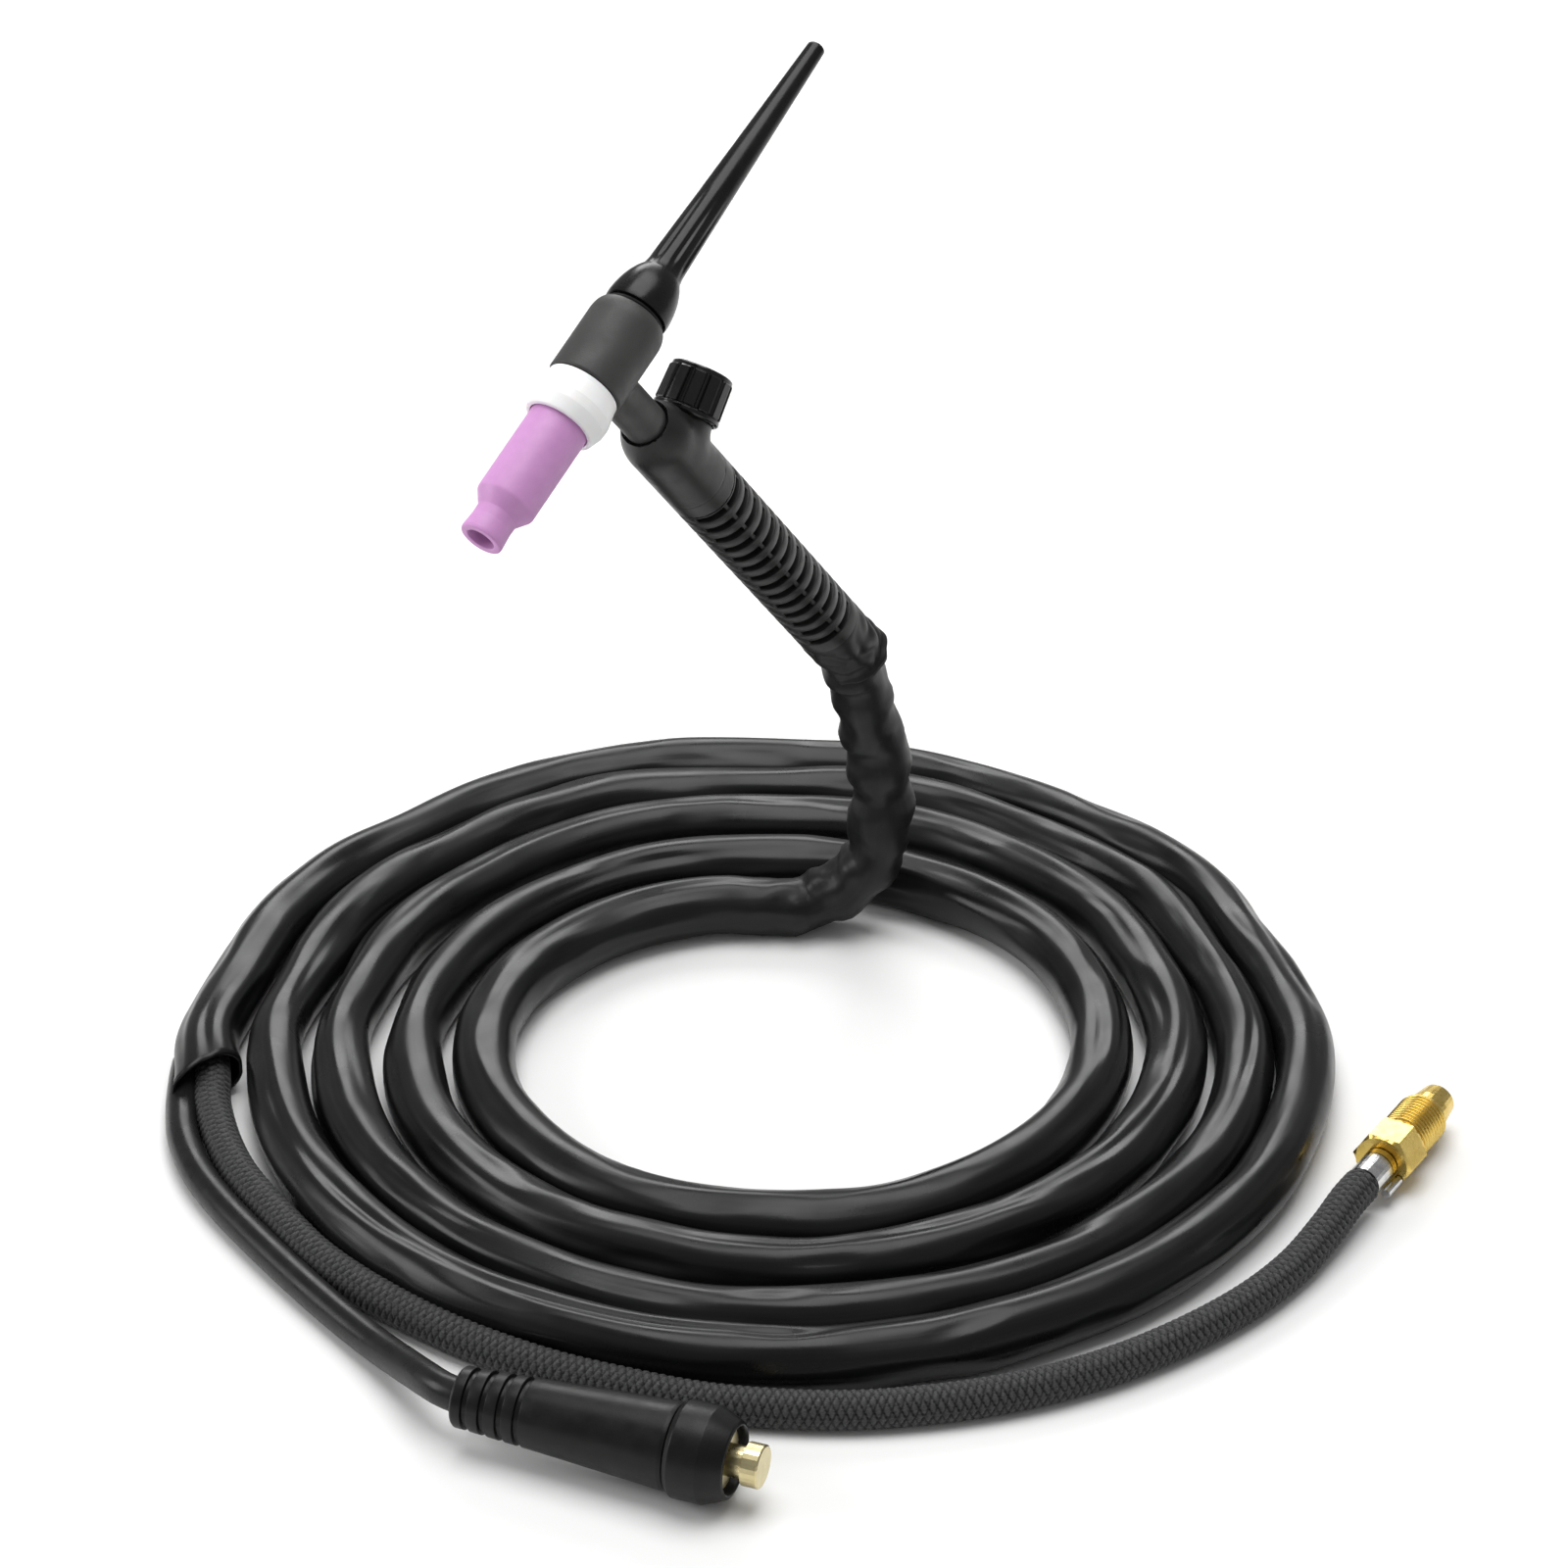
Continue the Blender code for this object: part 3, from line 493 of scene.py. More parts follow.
RISER_ROUTE = [
    (-38.0, 0.0, -43.5), (-43.4, 0.0, -50.0), (-47.6, -0.4, -58.5), (-50.6, -1.0, -68.0),
    (-54.0, -1.0, -78.0), (-57.8, -1.0, -87.5), (-60.9, -1.0, -98.0), (-62.4, -1.0, -108.0),
    (-63.0, -1.0, -118.0), (-62.6, -1.6, -127.5), (-60.9, -3.4, -136.5), (-57.3, -8.0, -144.0),
    (-52.6, -14.6, -149.4), (-47.9, -21.6, -152.4),
]
HOSE_ROUTE = [
    (131.5, -118.5, -154.0), (139.5, -111.2, -155.0), (148.6, -103.0, -156.4), (161.0, -87.6, -157.0),
    (171.4, -70.8, -157.0), (180.0, -50.3, -157.0), (187.8, -29.2, -157.0), (192.2, -8.0, -157.0),
    (194.2, 14.5, -157.0), (194.2, 36.0, -157.0), (191.2, 60.6, -157.0), (185.4, 83.2, -157.0),
    (178.4, 104.0, -157.0), (169.0, 122.6, -157.0), (157.8, 139.6, -157.0), (144.6, 154.6, -157.0),
    (129.6, 168.4, -157.0), (112.6, 180.6, -157.0), (92.6, 191.2, -157.0), (70.4, 199.4, -157.0),
    (48.0, 204.8, -157.0), (27.0, 206.9, -156.6), (8.0, 206.4, -155.0), (-6.0, 205.1, -153.7),
    (-15.9, 204.45, -153.6),
]
LEAD_ROUTE = [
    (136.0, -124.5, -155.6), (143.5, -119.3, -156.2), (153.2, -111.8, -157.3), (165.0, -100.5, -157.4),
    (176.0, -85.2, -157.4), (184.8, -67.0, -157.4), (192.6, -46.4, -157.4), (200.2, -24.0, -157.4),
    (206.4, -4.0, -157.2), (212.0, 14.0, -155.9), (217.6, 30.0, -152.9), (221.8, 41.0, -150.2),
    (224.0, 48.6, -148.9), (223.9, 55.2, -148.6), (222.4, 61.0, -148.6),
]


def coil_radius(turns):
    """Distance of the cover's centre line from the coil's centre, by smooth interpolation."""
    turns = np.asarray(turns, float)
    spots = np.clip(turns * 4.0, 0.0, len(QUARTER_RADII) - 1.001)
    i = np.floor(spots).astype(int)
    f = spots - i
    table = np.array([QUARTER_RADII[0] - 9.0] + QUARTER_RADII + [QUARTER_RADII[-1] + 4.0])
    a, b, c, d = table[i], table[i + 1], table[i + 2], table[np.minimum(i + 3, len(table) - 1)]
    return catmull_rom(a, b, c, d, f)


def kink(turns):
    """How far the cover is pushed in or out where the coil was bent, most in its outer turns."""
    turns = np.asarray(turns, float)
    angle = np.degrees(COIL_START) + 360.0 * turns
    push = sum(size * np.exp(-((((angle - middle + 180.0) % 360.0 - 180.0) / width) ** 2))
               for middle, size, width in KINKS)
    return push * np.clip((turns - 0.6) / 3.2, 0.0, 1.0)


def coil_point(turns):
    angle = COIL_START + TAU * turns
    r = float(coil_radius(turns) + kink(turns))
    return (COIL_CENTRE[0] + r * math.cos(angle), COIL_CENTRE[1] + r * math.sin(angle), COIL_LEVEL)


def cover_route():
    """The cover's centre line: down from the grip, then round the coil to its outer end."""
    turns = np.arange(0.03, COIL_TURNS + 0.001, 1.0 / 32.0)
    return RISER_ROUTE + [coil_point(t) for t in turns] + [coil_point(COIL_TURNS)]


def wrapped(angle, gone, round_scale, length):
    """Where to read a noise so that it closes round a tube and varies over a length along it."""
    return np.stack([np.cos(angle) * round_scale, np.sin(angle) * round_scale, gone / length], axis=1)


def puffs(angle, gone, round_scale, length):
    """Soft gathered folds: rounded bulges with narrow valleys between them, about 0 on average."""
    value = turbulence(wrapped(angle, gone, round_scale, length))
    return np.sqrt(value**2 + 0.014) * 1.9 - 0.46


def settle(z, floor, soft):
    """Lift what would sink into the floor, so that the underside lies flat on it."""
    return floor + soft * np.logaddexp(0.0, (z - floor) / soft)


def side_rooms(path):
    """How far the cover may reach outwards and inwards before it meets the next turn's cover."""
    angle = np.unwrap(np.arctan2(path[:, 1] - COIL_CENTRE[1], path[:, 0] - COIL_CENTRE[0]))
    turns = (angle - COIL_START) / TAU
    turns += COIL_TURNS - turns[-1]
    radius = np.hypot(path[:, 0] - COIL_CENTRE[0], path[:, 1] - COIL_CENTRE[1])
    beyond = coil_radius(turns + 1) + kink(turns + 1)
    within = coil_radius(turns - 1) + kink(turns - 1)
    outer_room = np.where(turns + 1 <= COIL_TURNS + 0.02, beyond - radius, 40.0) / 2
    inner_room = np.where(turns - 1 >= 0.0, radius - within, 40.0) / 2
    off_pinch = (COIL_START + TAU * turns - PINCH + math.pi) % TAU - math.pi
    pinch = 1.5 * np.exp(-((off_pinch / math.radians(11.0)) ** 2)) * (turns > 0.4) * (turns < 4.1)
    return np.minimum(outer_room, COVER_R) - pinch, np.minimum(inner_room, COVER_R) - pinch


def cover_radius(angle, gone, lying):
    """The cover's radius at each point: gathered folds where it hangs, soft dents where it lies."""
    hang = 1.0 - lying
    folds = puffs(angle, gone, 0.95, 10.5)
    lumps = turbulence(wrapped(angle, gone, 0.55, 24.0))
    swells = turbulence(wrapped(angle, gone, 0.75, 58.0), 2)
    dents = np.minimum(0.0, turbulence(wrapped(angle, gone, 1.3, 34.0)) + 0.16)
    rings = turbulence(wrapped(angle, gone + 90.0, 0.62, 8.5))
    bend = np.exp(-(((gone - HANG_LENGTH) / 26.0) ** 2))
    r = COVER_R + hang * (0.75 + 0.9 * bend) * folds + hang * (2.9 * rings + 1.2 * lumps)
    r += lying * (1.05 * swells + 1.6 * dents)
    for number, (middle, depth, width) in enumerate(CREASES):
        wander = middle + 0.5 * np.sin(gone / (140.0 + 37.0 * number) + 2.1 * number)
        gap = (angle - wander + math.pi) % TAU - math.pi
        open_by = np.clip(0.5 + 1.3 * np.sin(gone / (83.0 + 29.0 * number) + number), 0.0, 1.0)
        r -= lying * depth * open_by * np.exp(-((gap / width) ** 2))
    return r


def make_cover():
    """The cable cover: wrinkled where it hangs, then a soft sleeve lying in a flat coil."""
    path, gone = smooth_route(cover_route(), 2.6)
    t, n, up = sweep_frames(path, COIL_CENTRE)
    around = np.arange(COVER_SIDES) * TAU / COVER_SIDES
    reach = gone[-1]
    lying = np.clip((gone - HANG_LENGTH) / 45.0, 0.0, 1.0)
    lying = lying * lying * (3 - 2 * lying)
    angle = np.tile(around, len(path))
    r = cover_radius(angle, np.repeat(gone, COVER_SIDES), np.repeat(lying, COVER_SIDES))

    x = (r * np.cos(angle)).reshape(len(path), COVER_SIDES)
    y = (r * np.sin(angle)).reshape(len(path), COVER_SIDES)
    outer_room, inner_room = (room[:, None] for room in side_rooms(path))
    x_lying = x * (np.where(x > 0, outer_room, inner_room) / COVER_R)
    x_lying = np.clip(x_lying, -inner_room, outer_room)
    x = x * (1 - lying[:, None]) + x_lying * lying[:, None]
    mouth = np.clip((gone - (reach - 16.0)) / 16.0, 0.0, 1.0)[:, None]
    x *= 1.0 + 0.10 * mouth**2
    y *= 1.0 - 0.16 * mouth**2
    points = swept(path, n, up, x, y)
    points += (6.0 * mouth * (x / COVER_R + 0.1))[..., None] * t[:, None, :]
    points[..., 2] = settle(points[..., 2], FLOOR_Z + 0.1, 0.8)

    lined = 10
    middle = path[-lined:, None, :]
    lining = (middle + (points[-lined:] - middle) * 0.9)[::-1]
    rings = np.concatenate([points, lining])
    uv = tube_uv(around, np.concatenate([gone, gone[-lined:][::-1]]))
    faces = closed_tube(len(rings), COVER_SIDES)
    mesh = mesh_of("cable_cover", rings.reshape(-1, 3), faces, uv=uv)
    made = finish_piece("cable_cover", mesh, COVER, "torch",
                        ("cable_riser", "cable_coil"))


def make_hose():
    """The gas hose: braided strands crossing over and under, as real relief on a round tube."""
    sides = 96
    path, gone = smooth_route(HOSE_ROUTE, 0.5)
    _, n, up = sweep_frames(path, COIL_CENTRE)
    around = np.arange(sides) * TAU / sides
    u = around[None, :] / TAU
    v = gone[:, None] / BRAID_LEAD
    a = BRAID_STRANDS * (u + v)
    b = BRAID_STRANDS * (u - v)
    ridge_a = np.sqrt(np.maximum(0.0, 1 - (2 * (a % 1.0) - 1) ** 2))
    ridge_b = np.sqrt(np.maximum(0.0, 1 - (2 * (b % 1.0) - 1) ** 2))
    a_on_top = (np.floor(a) + np.floor(b)) % 2.0 < 0.5
    relief = np.where(a_on_top, 0.70 * ridge_a + 0.12 * ridge_b, 0.70 * ridge_b + 0.12 * ridge_a)
    r = 4.3 + 1.75 * relief
    points = swept(path, n, up, r * np.cos(around), r * np.sin(around))
    points[..., 2] = np.maximum(points[..., 2], FLOOR_Z + 0.05)
    faces = closed_tube(len(path), sides)
    mesh = mesh_of("gas_hose_braid", points.reshape(-1, 3), faces, uv=tube_uv(around, gone))
    made = finish_piece("gas_hose_braid", mesh, BRAID, "torch", ("gas_hose",))
    return made, path, gone[-1]


def make_lead():
    """The power lead: a smooth round jacket."""
    radius, sides = 5.0, 40
    path, gone = smooth_route(LEAD_ROUTE, 2.0)
    _, n, up = sweep_frames(path, COIL_CENTRE)
    around = np.arange(sides) * TAU / sides
    points = swept(path, n, up, radius * np.cos(around)[None, :], radius * np.sin(around)[None, :])
    faces = closed_tube(len(path), sides)
    mesh = mesh_of("power_lead_jacket", points.reshape(-1, 3), faces, uv=tube_uv(around, gone))
    made = finish_piece("power_lead_jacket", mesh, LEAD, "torch", ("power_lead",))
    return made, path, gone[-1]


# ---------------------------------------------------------------- torch head and cap


def implicit_piece(name, node, surface, skin, body):
    """Rebuild a CAD solid as a fine mesh drawn onto a smooth implicit surface, for true fillets."""
    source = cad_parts[node]
    made = bpy.data.objects.new(name, source.data.copy())
    bpy.context.scene.collection.objects.link(made)
    made.data.materials.clear()
    step = made.modifiers.new("remesh", "REMESH")
    step.mode = "VOXEL"
    step.voxel_size = 0.42 * MM
    graph = bpy.context.evaluated_depsgraph_get()
    mesh = bpy.data.meshes.new_from_object(made.evaluated_get(graph))
    bpy.data.objects.remove(made, do_unlink=True)
    mesh.name = name
    points = np.empty(len(mesh.vertices) * 3)
    mesh.vertices.foreach_get("co", points)
    points = points.reshape(-1, 3) / MM
    for _ in range(6):
        value = surface(points)
        slope = np.stack([(surface(points + d) - surface(points - d)) / 0.04
                          for d in (np.eye(3) * 0.02)], axis=1)
        size = np.maximum(np.sum(slope**2, axis=1), 0.25)
        points -= np.clip(value / size, -0.6, 0.6)[:, None] * slope
    mesh.vertices.foreach_set("co", (points * MM).ravel())
    mesh.update()
    mesh.shade_smooth()
    return finish_piece(name, mesh, skin, body, (node,))


def local(points, where):
    """Points in the coordinates of a frame."""
    return (points - where[:3, 3]) @ where[:3, :3]


def rounded_rod(points, where, radius, low, high, edge):
    """Signed distance to a round rod with rounded ends."""
    p = local(points, where)
    rho = np.hypot(p[:, 0], p[:, 1]) - (radius - edge)
    z = np.abs(p[:, 2] - (low + high) / 2) - ((high - low) / 2 - edge)
    outside = np.hypot(np.maximum(rho, 0.0), np.maximum(z, 0.0))
    return outside + np.minimum(np.maximum(rho, z), 0.0) - edge


def blend_union(a, b, size):
    """Two distances joined with a fillet of about the given size."""
    h = np.clip(0.5 + 0.5 * (b - a) / size, 0.0, 1.0)
    return b * (1 - h) + a * h - size * h * (1 - h)


def head_surface(points):
    """The head: a collar with a rounded shoulder, the neck that meets it, and both bores."""
    body = rounded_rod(points, HEAD, HEAD_RADIUS, -6.7, 30.0, 0.45)
    p = local(points, HEAD)
    rho = np.hypot(p[:, 0], p[:, 1])
    drop = np.maximum(p[:, 2] - 14.6, 0.0)
    rounding = np.sqrt(np.maximum(1e-6, 1.0 - np.minimum(drop / 5.0, 1.0) ** 2))
    shoulder = rho - (HEAD_RADIUS - 2.2 + 2.2 * rounding)
    body = np.maximum(np.maximum(body, shoulder), p[:, 2] - 19.6)
    g = local(points, GRIP)
    off_axis = np.hypot(g[:, 0], g[:, 1])
    neck = np.maximum(off_axis - NECK_RADIUS, np.abs(g[:, 2] - 108.0) - 18.0)
    outer = blend_union(body, neck, 2.2)
    bores = np.minimum(rho - 7.5, np.maximum(off_axis - 3.5, g[:, 2] - HEAD_ALONG_GRIP))
    return np.maximum(outer, -bores)


def block_surface(points):
    """The valve block: a domed front that runs out on the neck, a seam, and the valve's boss."""
    g = local(points, GRIP)
    rho = np.hypot(g[:, 0], g[:, 1])
    along = np.clip((g[:, 2] - 82.5) / 14.0, 0.0, 1.0)
    dome = rho - (6.15 + 4.45 * (1.0 - along**2.2) ** 1.6)
    seam = np.abs(g[:, 2] - 59.0)
    dome = dome + 0.16 * np.exp(-((seam / 0.16) ** 2))
    body = np.maximum(np.maximum(dome, 52.5 - g[:, 2]), g[:, 2] - 96.5)
    v = local(points, VALVE)
    off_valve = np.hypot(v[:, 0], v[:, 1])
    spot_face = np.maximum(off_valve - 10.8, 10.55 - v[:, 2])
    round_boss = np.maximum(spot_face, BOSS_RADIUS + 0.05 - off_valve)
    boss = rounded_rod(points, VALVE, BOSS_RADIUS, 0.0, BOSS_TOP, 0.5)
    body = np.maximum(blend_union(body, boss, 3.0), -round_boss)
    boss_bore = np.maximum(off_valve - 5.4, -v[:, 2])
    bore = 6.1 - 0.6 * np.clip((g[:, 2] - 88.0) / 3.0, 0.0, 1.0)
    return np.maximum(np.maximum(body, bore - rho), -boss_bore)


def make_shells():
    """The two mouldings that are not turned shapes: the head's and the valve block's."""
    implicit_piece("head_shell", "head_jacket", head_surface, HEAD_MATTE, "torch")
    implicit_piece("valve_block_shell", "valve_block", block_surface, MATTE, "torch")


def make_shield():
    """The white insulator ring between the head and the cup."""
    shield = fillet([(6.4, -7.0), (10.9, -7.0, 0.3), (11.0, -8.4, 0.5), (12.1, -13.4, 0.7),
                     (12.0, -16.4, 0.9), (10.6, -20.4, 0.7), (9.25, -20.4, 0.25),
                     (9.25, -17.2, 0.1), (6.4, -17.2)], 6)
    turned("heat_shield_ring", shield, PTFE, "shield_carrier", HEAD,
           ("heat_shield",), 128)


def make_cup():
    """The pink ceramic cup, waisted below its shoulder, with a rolled lip."""
    cup = fillet([(6.1, -17.6), (8.4, -17.6, 0.2), (8.95, -18.2, 0.3), (8.95, -48.4, 2.2),
                  (6.15, -52.6, 1.0), (6.05, -55.5, 2.0), (6.45, -60.2, 0.8), (6.3, -61.3, 0.6),
                  (4.15, -61.3, 0.45), (4.1, -51.6, 1.0), (6.1, -46.4, 1.0), (6.1, -18.0)], 7)
    turned("ceramic_cup", cup, ALUMINA, "nozzle", HEAD, ("gas_nozzle",), 128)


def cap_profile():
    """The long cap: a domed foot, a tapering stem with a rounded tip, and the bore inside."""
    dome = [(9.9 * math.cos(a), 21.2 + 17.6 * math.sin(a))
            for a in np.radians(np.linspace(3.0, 52.0, 26))]
    stem_low, stem_high = 37.8, 121.6
    foot_radius, tip_radius = 5.65, 2.75
    heights = np.linspace(stem_low, stem_high, 90)
    gone = (heights - stem_low) / (stem_high - stem_low)
    stem = list(zip(foot_radius - (foot_radius - tip_radius) * gone**0.96, heights))
    tip = [(tip_radius * math.cos(a) ** 0.6, stem_high + 1.4 * math.sin(a))
           for a in np.radians(np.linspace(12, 88, 8))]
    inner = [(0.0, 112.0), (1.8, 112.0), (1.8, 12.4), (5.7, 12.4), (6.0, 12.8), (6.0, 19.9),
             (7.2, 20.0), (7.2, 21.1), (9.5, 21.1), (9.75, 21.2)]
    return inner + dome + stem + tip + [(0.0, 123.0)]


def cap_flutes(angles, radius, height):
    """Eight shallow flutes that fade out up the lower part of the stem."""
    if height < 36.0 or radius < 2.0:
        return np.full(len(angles), radius)
    fade = np.clip((height - 36.5) / 4.0, 0.0, 1.0) * np.clip((66.0 - height) / 22.0, 0.0, 1.0)
    valley = np.clip(np.cos(8.0 * angles), 0.0, 1.0) ** 1.5
    return radius - 0.55 * fade * valley


def make_cap():
    turned("back_cap_shell", cap_profile(), GLOSS, "long_cap", HEAD,
           ("back_cap",), 160, cap_flutes)


# ---------------------------------------------------------------- grip and valve

SLOT_TABS = 6
TAB_ANGLE = math.radians(3.6)
TAB_TURN = math.radians(252.0)
# Side of the grip on which the cover's rear lip stands out most
LIP_SIDE = math.radians(-62.0)


def make_grip():
    """The ribbed grip: fourteen slotted rings, each crossed by small tabs in rows."""
    outer, floor = GRIP_RADIUS, 8.48
    slots = [50.0 - 6.67 * k for k in range(14)][::-1]
    profile = [(outer - 0.4, -44.0), (outer, -43.6)]
    for middle in slots:
        profile += [(outer, middle - 1.72), (outer - 0.07, middle - 1.60),
                    (outer - 0.28, middle - 1.52), (floor, middle - 1.46),
                    (floor, middle + 1.46), (outer - 0.28, middle + 1.52),
                    (outer - 0.07, middle + 1.60), (outer, middle + 1.72)]
    profile += [(outer, 52.2), (8.3, 52.2), (8.3, -44.0)]

    def tabs(angles, radius, height):
        made = np.full(len(angles), float(radius))
        near = min(abs(height - m) for m in slots)
        if near < 1.62 and radius > 8.4 and height < 52.0:
            half = math.pi / SLOT_TABS
            offset = (angles - TAB_TURN + half) % (2 * half) - half
            rise = np.clip((TAB_ANGLE - np.abs(offset)) / math.radians(1.2) + 1.0, 0.0, 1.0)
            made = np.maximum(made, radius + (10.15 - radius) * rise)
        return made

    turned("grip_ribs", profile, MATTE, "torch", GRIP, ("handle_grip",),
           360, tabs, 40.0)


def make_boot():
    """The cover's wrinkled end, pushed over the back of the grip, and its rolled rear lip."""
    rings, sides = 70, 96
    heights = np.linspace(-43.2, -70.2, rings)
    around = np.arange(sides) * TAU / sides
    angle = np.tile(around, rings)
    height = np.repeat(heights, sides)
    folds = puffs(angle, height + 30.0, 1.25, 8.0)
    fade = np.clip((-43.2 - height) / 6.0, 0.0, 1.0)
    r = 10.5 - 0.5 * np.clip((-44.0 - height) / 20.0, 0.0, 1.0) + 1.5 * folds * fade
    side = 0.5 + 0.5 * np.cos(angle - LIP_SIDE)
    r += (0.3 + 1.2 * side) * np.exp(-(((height + 67.6) / 0.75) ** 4))
    outer = np.stack([r * np.cos(angle), r * np.sin(angle), height], axis=1)
    inner = np.stack([8.4 * np.cos(angle), 8.4 * np.sin(angle), height], axis=1)
    inner = inner.reshape(rings, sides, 3)[::-1]
    points = np.concatenate([outer, inner.reshape(-1, 3)])
    faces = tube_faces(2 * rings, sides)
    last = (2 * rings - 1) * sides
    faces += [(last + j, last + (j + 1) % sides, (j + 1) % sides, j) for j in range(sides)]
    uv = tube_uv(around, np.concatenate([heights, heights[::-1]]))
    mesh = mesh_of("cover_boot", points, faces, GRIP, uv)
    outward(mesh)
    finish_piece("cover_boot", mesh, COVER, "torch", ("cable_boot",))


def make_knob():
    """The valve's knob: a thin skirt, then twelve pads with narrow valleys between them."""
    low, top = KNOB_LOW, KNOB_TOP
    profile = fillet([(0.0, low + 9.0), (2.9, low + 9.0), (2.9, 12.0), (9.15, 12.0, 0.2),
                      (9.15, low), (9.7, low, 0.25), (10.15, low + 0.6, 0.3),
                      (10.15, low + 1.5, 0.2), (9.75, low + 1.9, 0.1), (10.1, low + 2.3, 0.1),
                      (9.75, top - 1.8, 0.2), (9.35, top - 1.4, 0.1), (9.3, top - 0.45, 0.4),
                      (8.7, top, 0.3), (8.0, top, 0.15), (7.8, top - 0.4, 0.15), (0.0, top - 0.4)], 5)

    def pads(angles, radius, height):
        made = np.full(len(angles), float(radius))
        if radius < 9.45 or not low + 1.95 < height < top - 1.35:
            return made
        valley = np.clip(0.5 - 3.2 * (np.cos(12.0 * angles) + 0.62), 0.0, 1.0)
        flat = np.cos((angles + math.pi / 12.0) % (TAU / 12.0) - math.pi / 12.0)
        return made / flat * 0.992 - 0.85 * valley

    turned("knob_shell", profile, KNOB_GLOSS, "valve_handwheel", VALVE,
           ("valve_knob",), 288, pads, 35.0)


# ---------------------------------------------------------------- plug and union

THREAD_PITCH = 1.5


def make_plug():
    """The plug's rubber grip, ringed where the lead goes in, and the separate ring at its nose."""
    corners = [(5.45, 0.2), (8.2, 0.2, 0.5), (8.75, 0.9, 0.4)]
    for k in range(4):
        z, r = 4.6 + 5.3 * k, 8.85 + 0.3 * k
        corners += [(r, z - 0.95, 0.3), (r - 1.1, z - 0.75, 0.3),
                    (r - 1.1, z + 0.75, 0.3), (r + 0.1, z + 0.95, 0.3)]
    corners += [(10.1, 26.0, 3.0), (12.5, 63.4, 0.5), (12.2, 64.7, 0.5), (9.35, 64.7),
                (9.35, 24.0), (5.45, 18.0)]
    turned("plug_grip", fillet(corners), RUBBER, "torch", PLUG, ("plug_cover",), 128)
    ring = fillet([(9.35, 65.0), (12.6, 65.0, 0.5), (13.8, 66.6, 0.8), (13.8, 75.0, 1.0),
                   (11.0, 81.6, 0.9), (9.9, 82.0, 0.4), (9.35, 81.0)], 6)
    turned("plug_nose_ring", ring, RUBBER, "torch", PLUG, ("plug_front_ring",), 128)


def hexagon(angles, radius, height):
    """A hexagon of 17 mm across flats, its corners cut to the ring's radius. The bore stays round."""
    if radius < 5.0:
        return np.full(len(angles), radius)
    flat = 8.5 / np.cos((angles + math.pi / 6) % (math.pi / 3) - math.pi / 6)
    return np.minimum(flat, radius)


def thread(angles, radius, height):
    """A male thread that fades out at both of its ends. The bore stays round."""
    if radius < 5.0:
        return np.full(len(angles), radius)
    phase = (height / THREAD_PITCH - angles / TAU) % 1.0
    tooth = 0.5 + 0.5 * np.cos(TAU * phase)
    fade = np.clip((height - 25.2) / 0.8, 0.0, 1.0) * np.clip((42.7 - height) / 1.4, 0.0, 1.0)
    return 6.9 + 1.1 * tooth * fade


def make_union():
    """The union nut: its hexagon, and the threaded part in front of it."""
    nut = fillet([(4.6, 12.6), (8.4, 12.6), (9.75, 13.5), (9.82, 14.0), (9.82, 23.4), (9.75, 23.9),
                  (8.4, 24.8), (4.6, 24.8)])
    turned("union_hexagon", nut, BRASS_UNION, "union_nut", UNION, ("gas_nut",),
           240, hexagon, 20.0)
    heights = np.arange(24.9, 42.65, 0.1)
    threads = [(4.6, 24.9)] + [(8.0, z) for z in heights] + [(4.6, heights[-1])]
    turned("union_thread", threads, BRASS_UNION, "union_nut", UNION, (), 128, thread, 75.0)


def restyle():
    """Give the CAD nodes that stay their own worked surfaces."""
    looks = {
        "torch_core": BRASS_HEAD, "collet_body": COPPER, "collet": COPPER, "valve_manifold": BRASS_HEAD,
        "valve_stem": BRASS_HEAD, "valve_o_ring": O_RING, "back_cap_o_ring": O_RING,
        "tail_adaptor": BRASS_HEAD, "gas_tail": RUBBER, "power_crimp": COPPER, "power_tail": RUBBER,
        "plug_contact": BRASS_PLUG, "plug_clamp_screw": STEEL, "plug_cable_sleeve": COPPER,
        "hose_ferrule": STEEL, "hose_tail": BRASS_UNION, "nut_pin": STEEL,
    }
    for node, skin in looks.items():
        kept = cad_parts[node]
        for slot in kept.material_slots:
            slot.material = skin


# ---------------------------------------------------------------- stage and lights


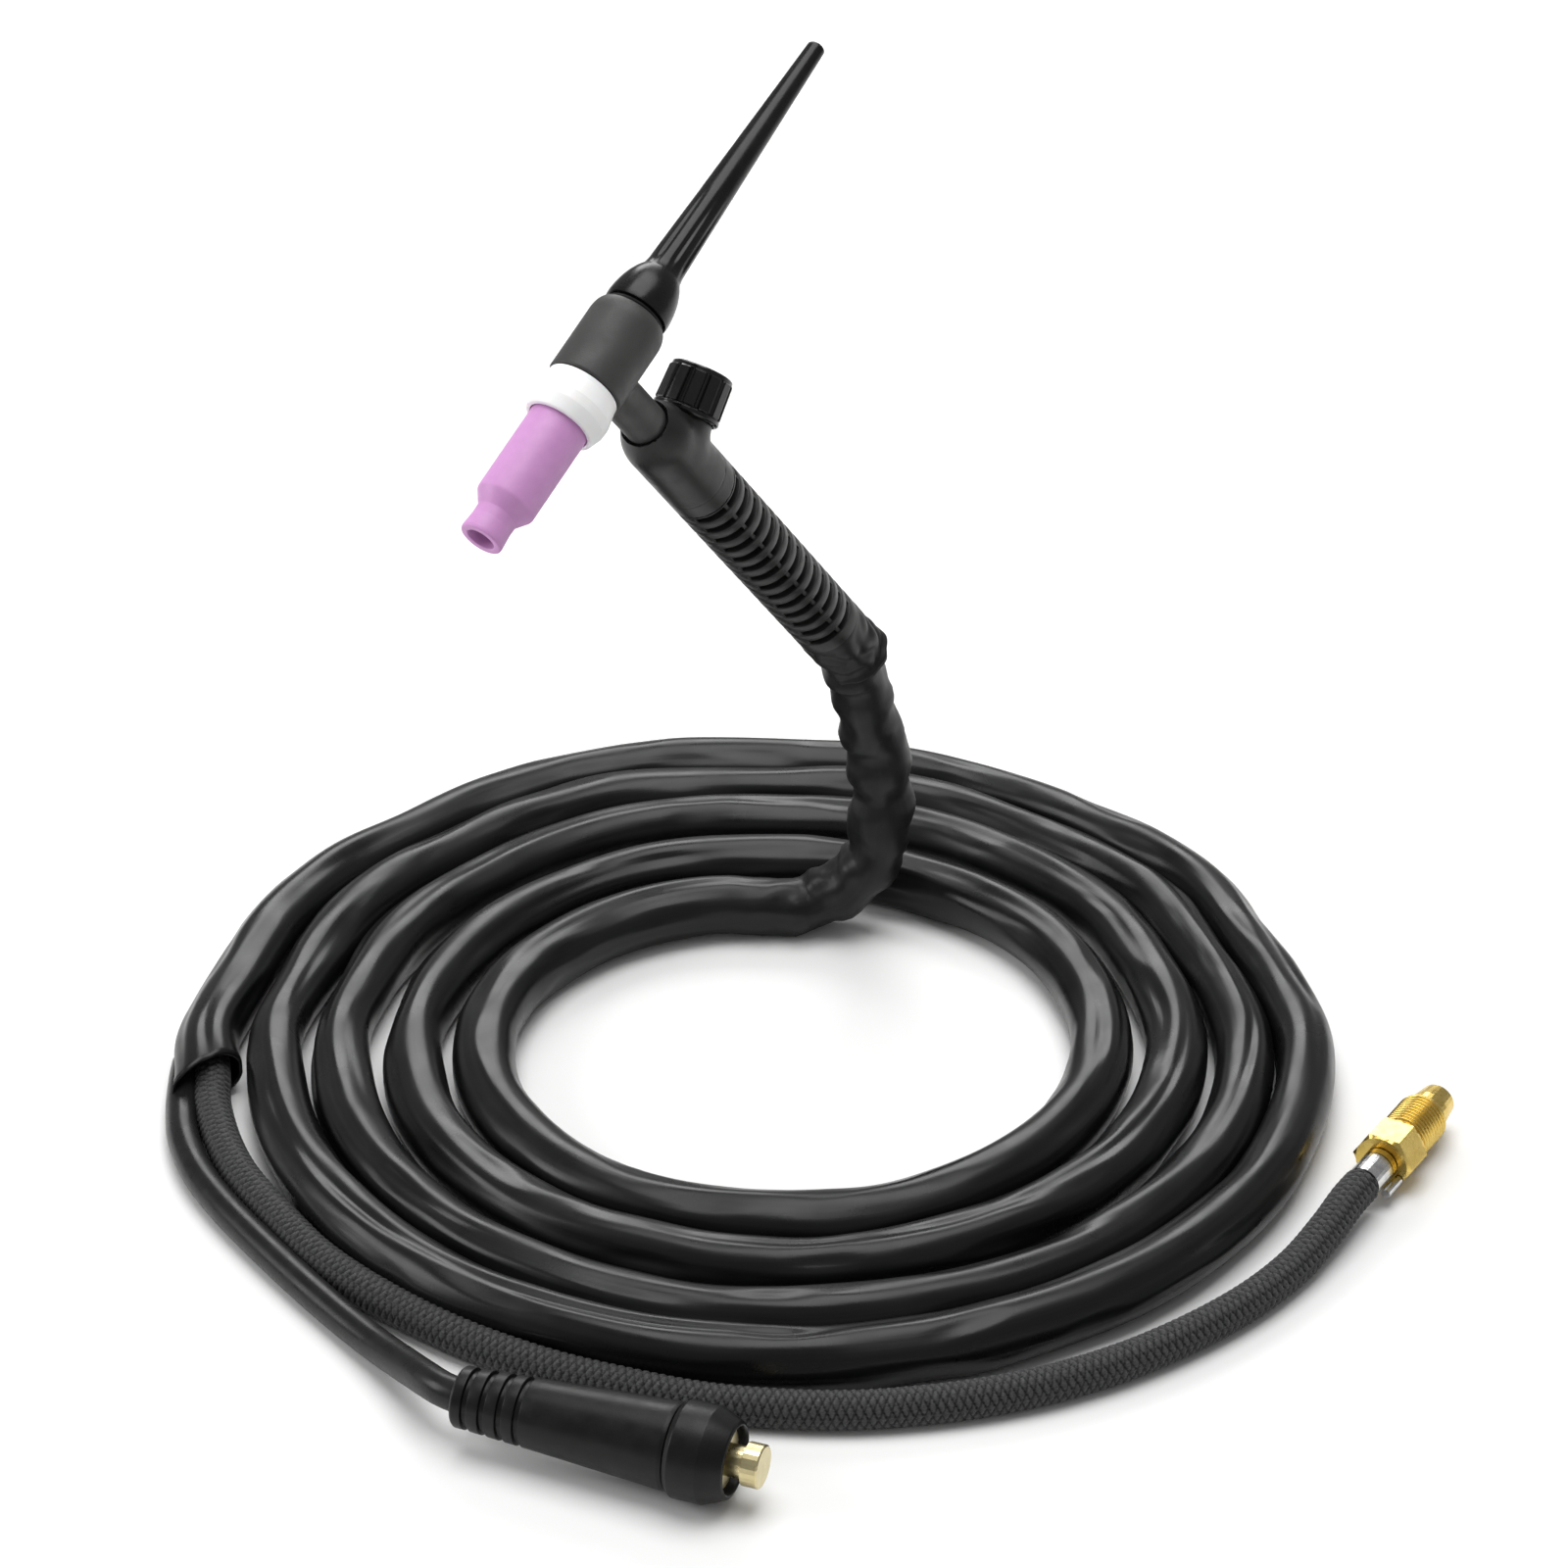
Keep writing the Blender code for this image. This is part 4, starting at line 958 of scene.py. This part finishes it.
def make_stage():
    """A white floor just under the coil."""
    mesh = bpy.data.meshes.new("floor")
    size = 6.0
    corners = [(-size, -size, 0), (size, -size, 0), (size, size, 0), (-size, size, 0)]
    mesh.from_pydata(corners, [], [(0, 1, 2, 3)])
    floor = bpy.data.objects.new("floor", mesh)
    floor.location = (0.0, 0.0, (FLOOR_Z - 0.05) * MM)
    bpy.context.scene.collection.objects.link(floor)
    paper = Skin("floor_paper", Roughness=0.9, Specular_IOR_Level=0.1)
    paper.shader.inputs["Base Color"].default_value = (0.93, 0.93, 0.925, 1.0)
    mesh.materials.append(paper.material)


def area_light(name, place, aim, size, power):
    """A rectangular lamp of the given sizes in metres, turned towards a point."""
    data = bpy.data.lights.new(name, "AREA")
    data.shape = "RECTANGLE"
    data.size, data.size_y = size
    data.energy = power
    lamp = bpy.data.objects.new(name, data)
    lamp.location = place
    lamp.rotation_euler = (Vector(aim) - Vector(place)).to_track_quat("-Z", "Y").to_euler()
    bpy.context.scene.collection.objects.link(lamp)


def make_lights():
    """An even white surround and three softboxes: above, behind and at the side."""
    world = bpy.data.worlds.new("studio")
    world.use_nodes = True
    surround = world.node_tree.nodes["Background"]
    surround.inputs["Color"].default_value = (1.0, 1.0, 1.0, 1.0)
    surround.inputs["Strength"].default_value = 0.30
    bpy.context.scene.world = world
    area_light("top_softbox", (-0.1, 0.0, 1.5), (0.0, 0.0, -0.1), (1.3, 1.3), 22.0)
    area_light("back_softbox", (-1.3, -0.9, 1.0), (0.0, 0.0, -0.1), (1.2, 0.7), 15.0)
    area_light("side_softbox", (1.1, -1.3, 0.7), (0.0, 0.0, 0.0), (0.9, 0.9), 13.0)
    bpy.context.scene.view_settings.view_transform = "Standard"
    bpy.context.scene.view_settings.look = "None"


def main():
    make_camera()
    make_cover()
    hose, hose_path, hose_length = make_hose()
    lead, lead_path, lead_length = make_lead()
    make_shells()
    make_shield()
    make_cup()
    make_cap()
    make_grip()
    make_boot()
    make_knob()
    make_plug()
    make_union()
    restyle()
    make_stage()
    make_lights()


main()
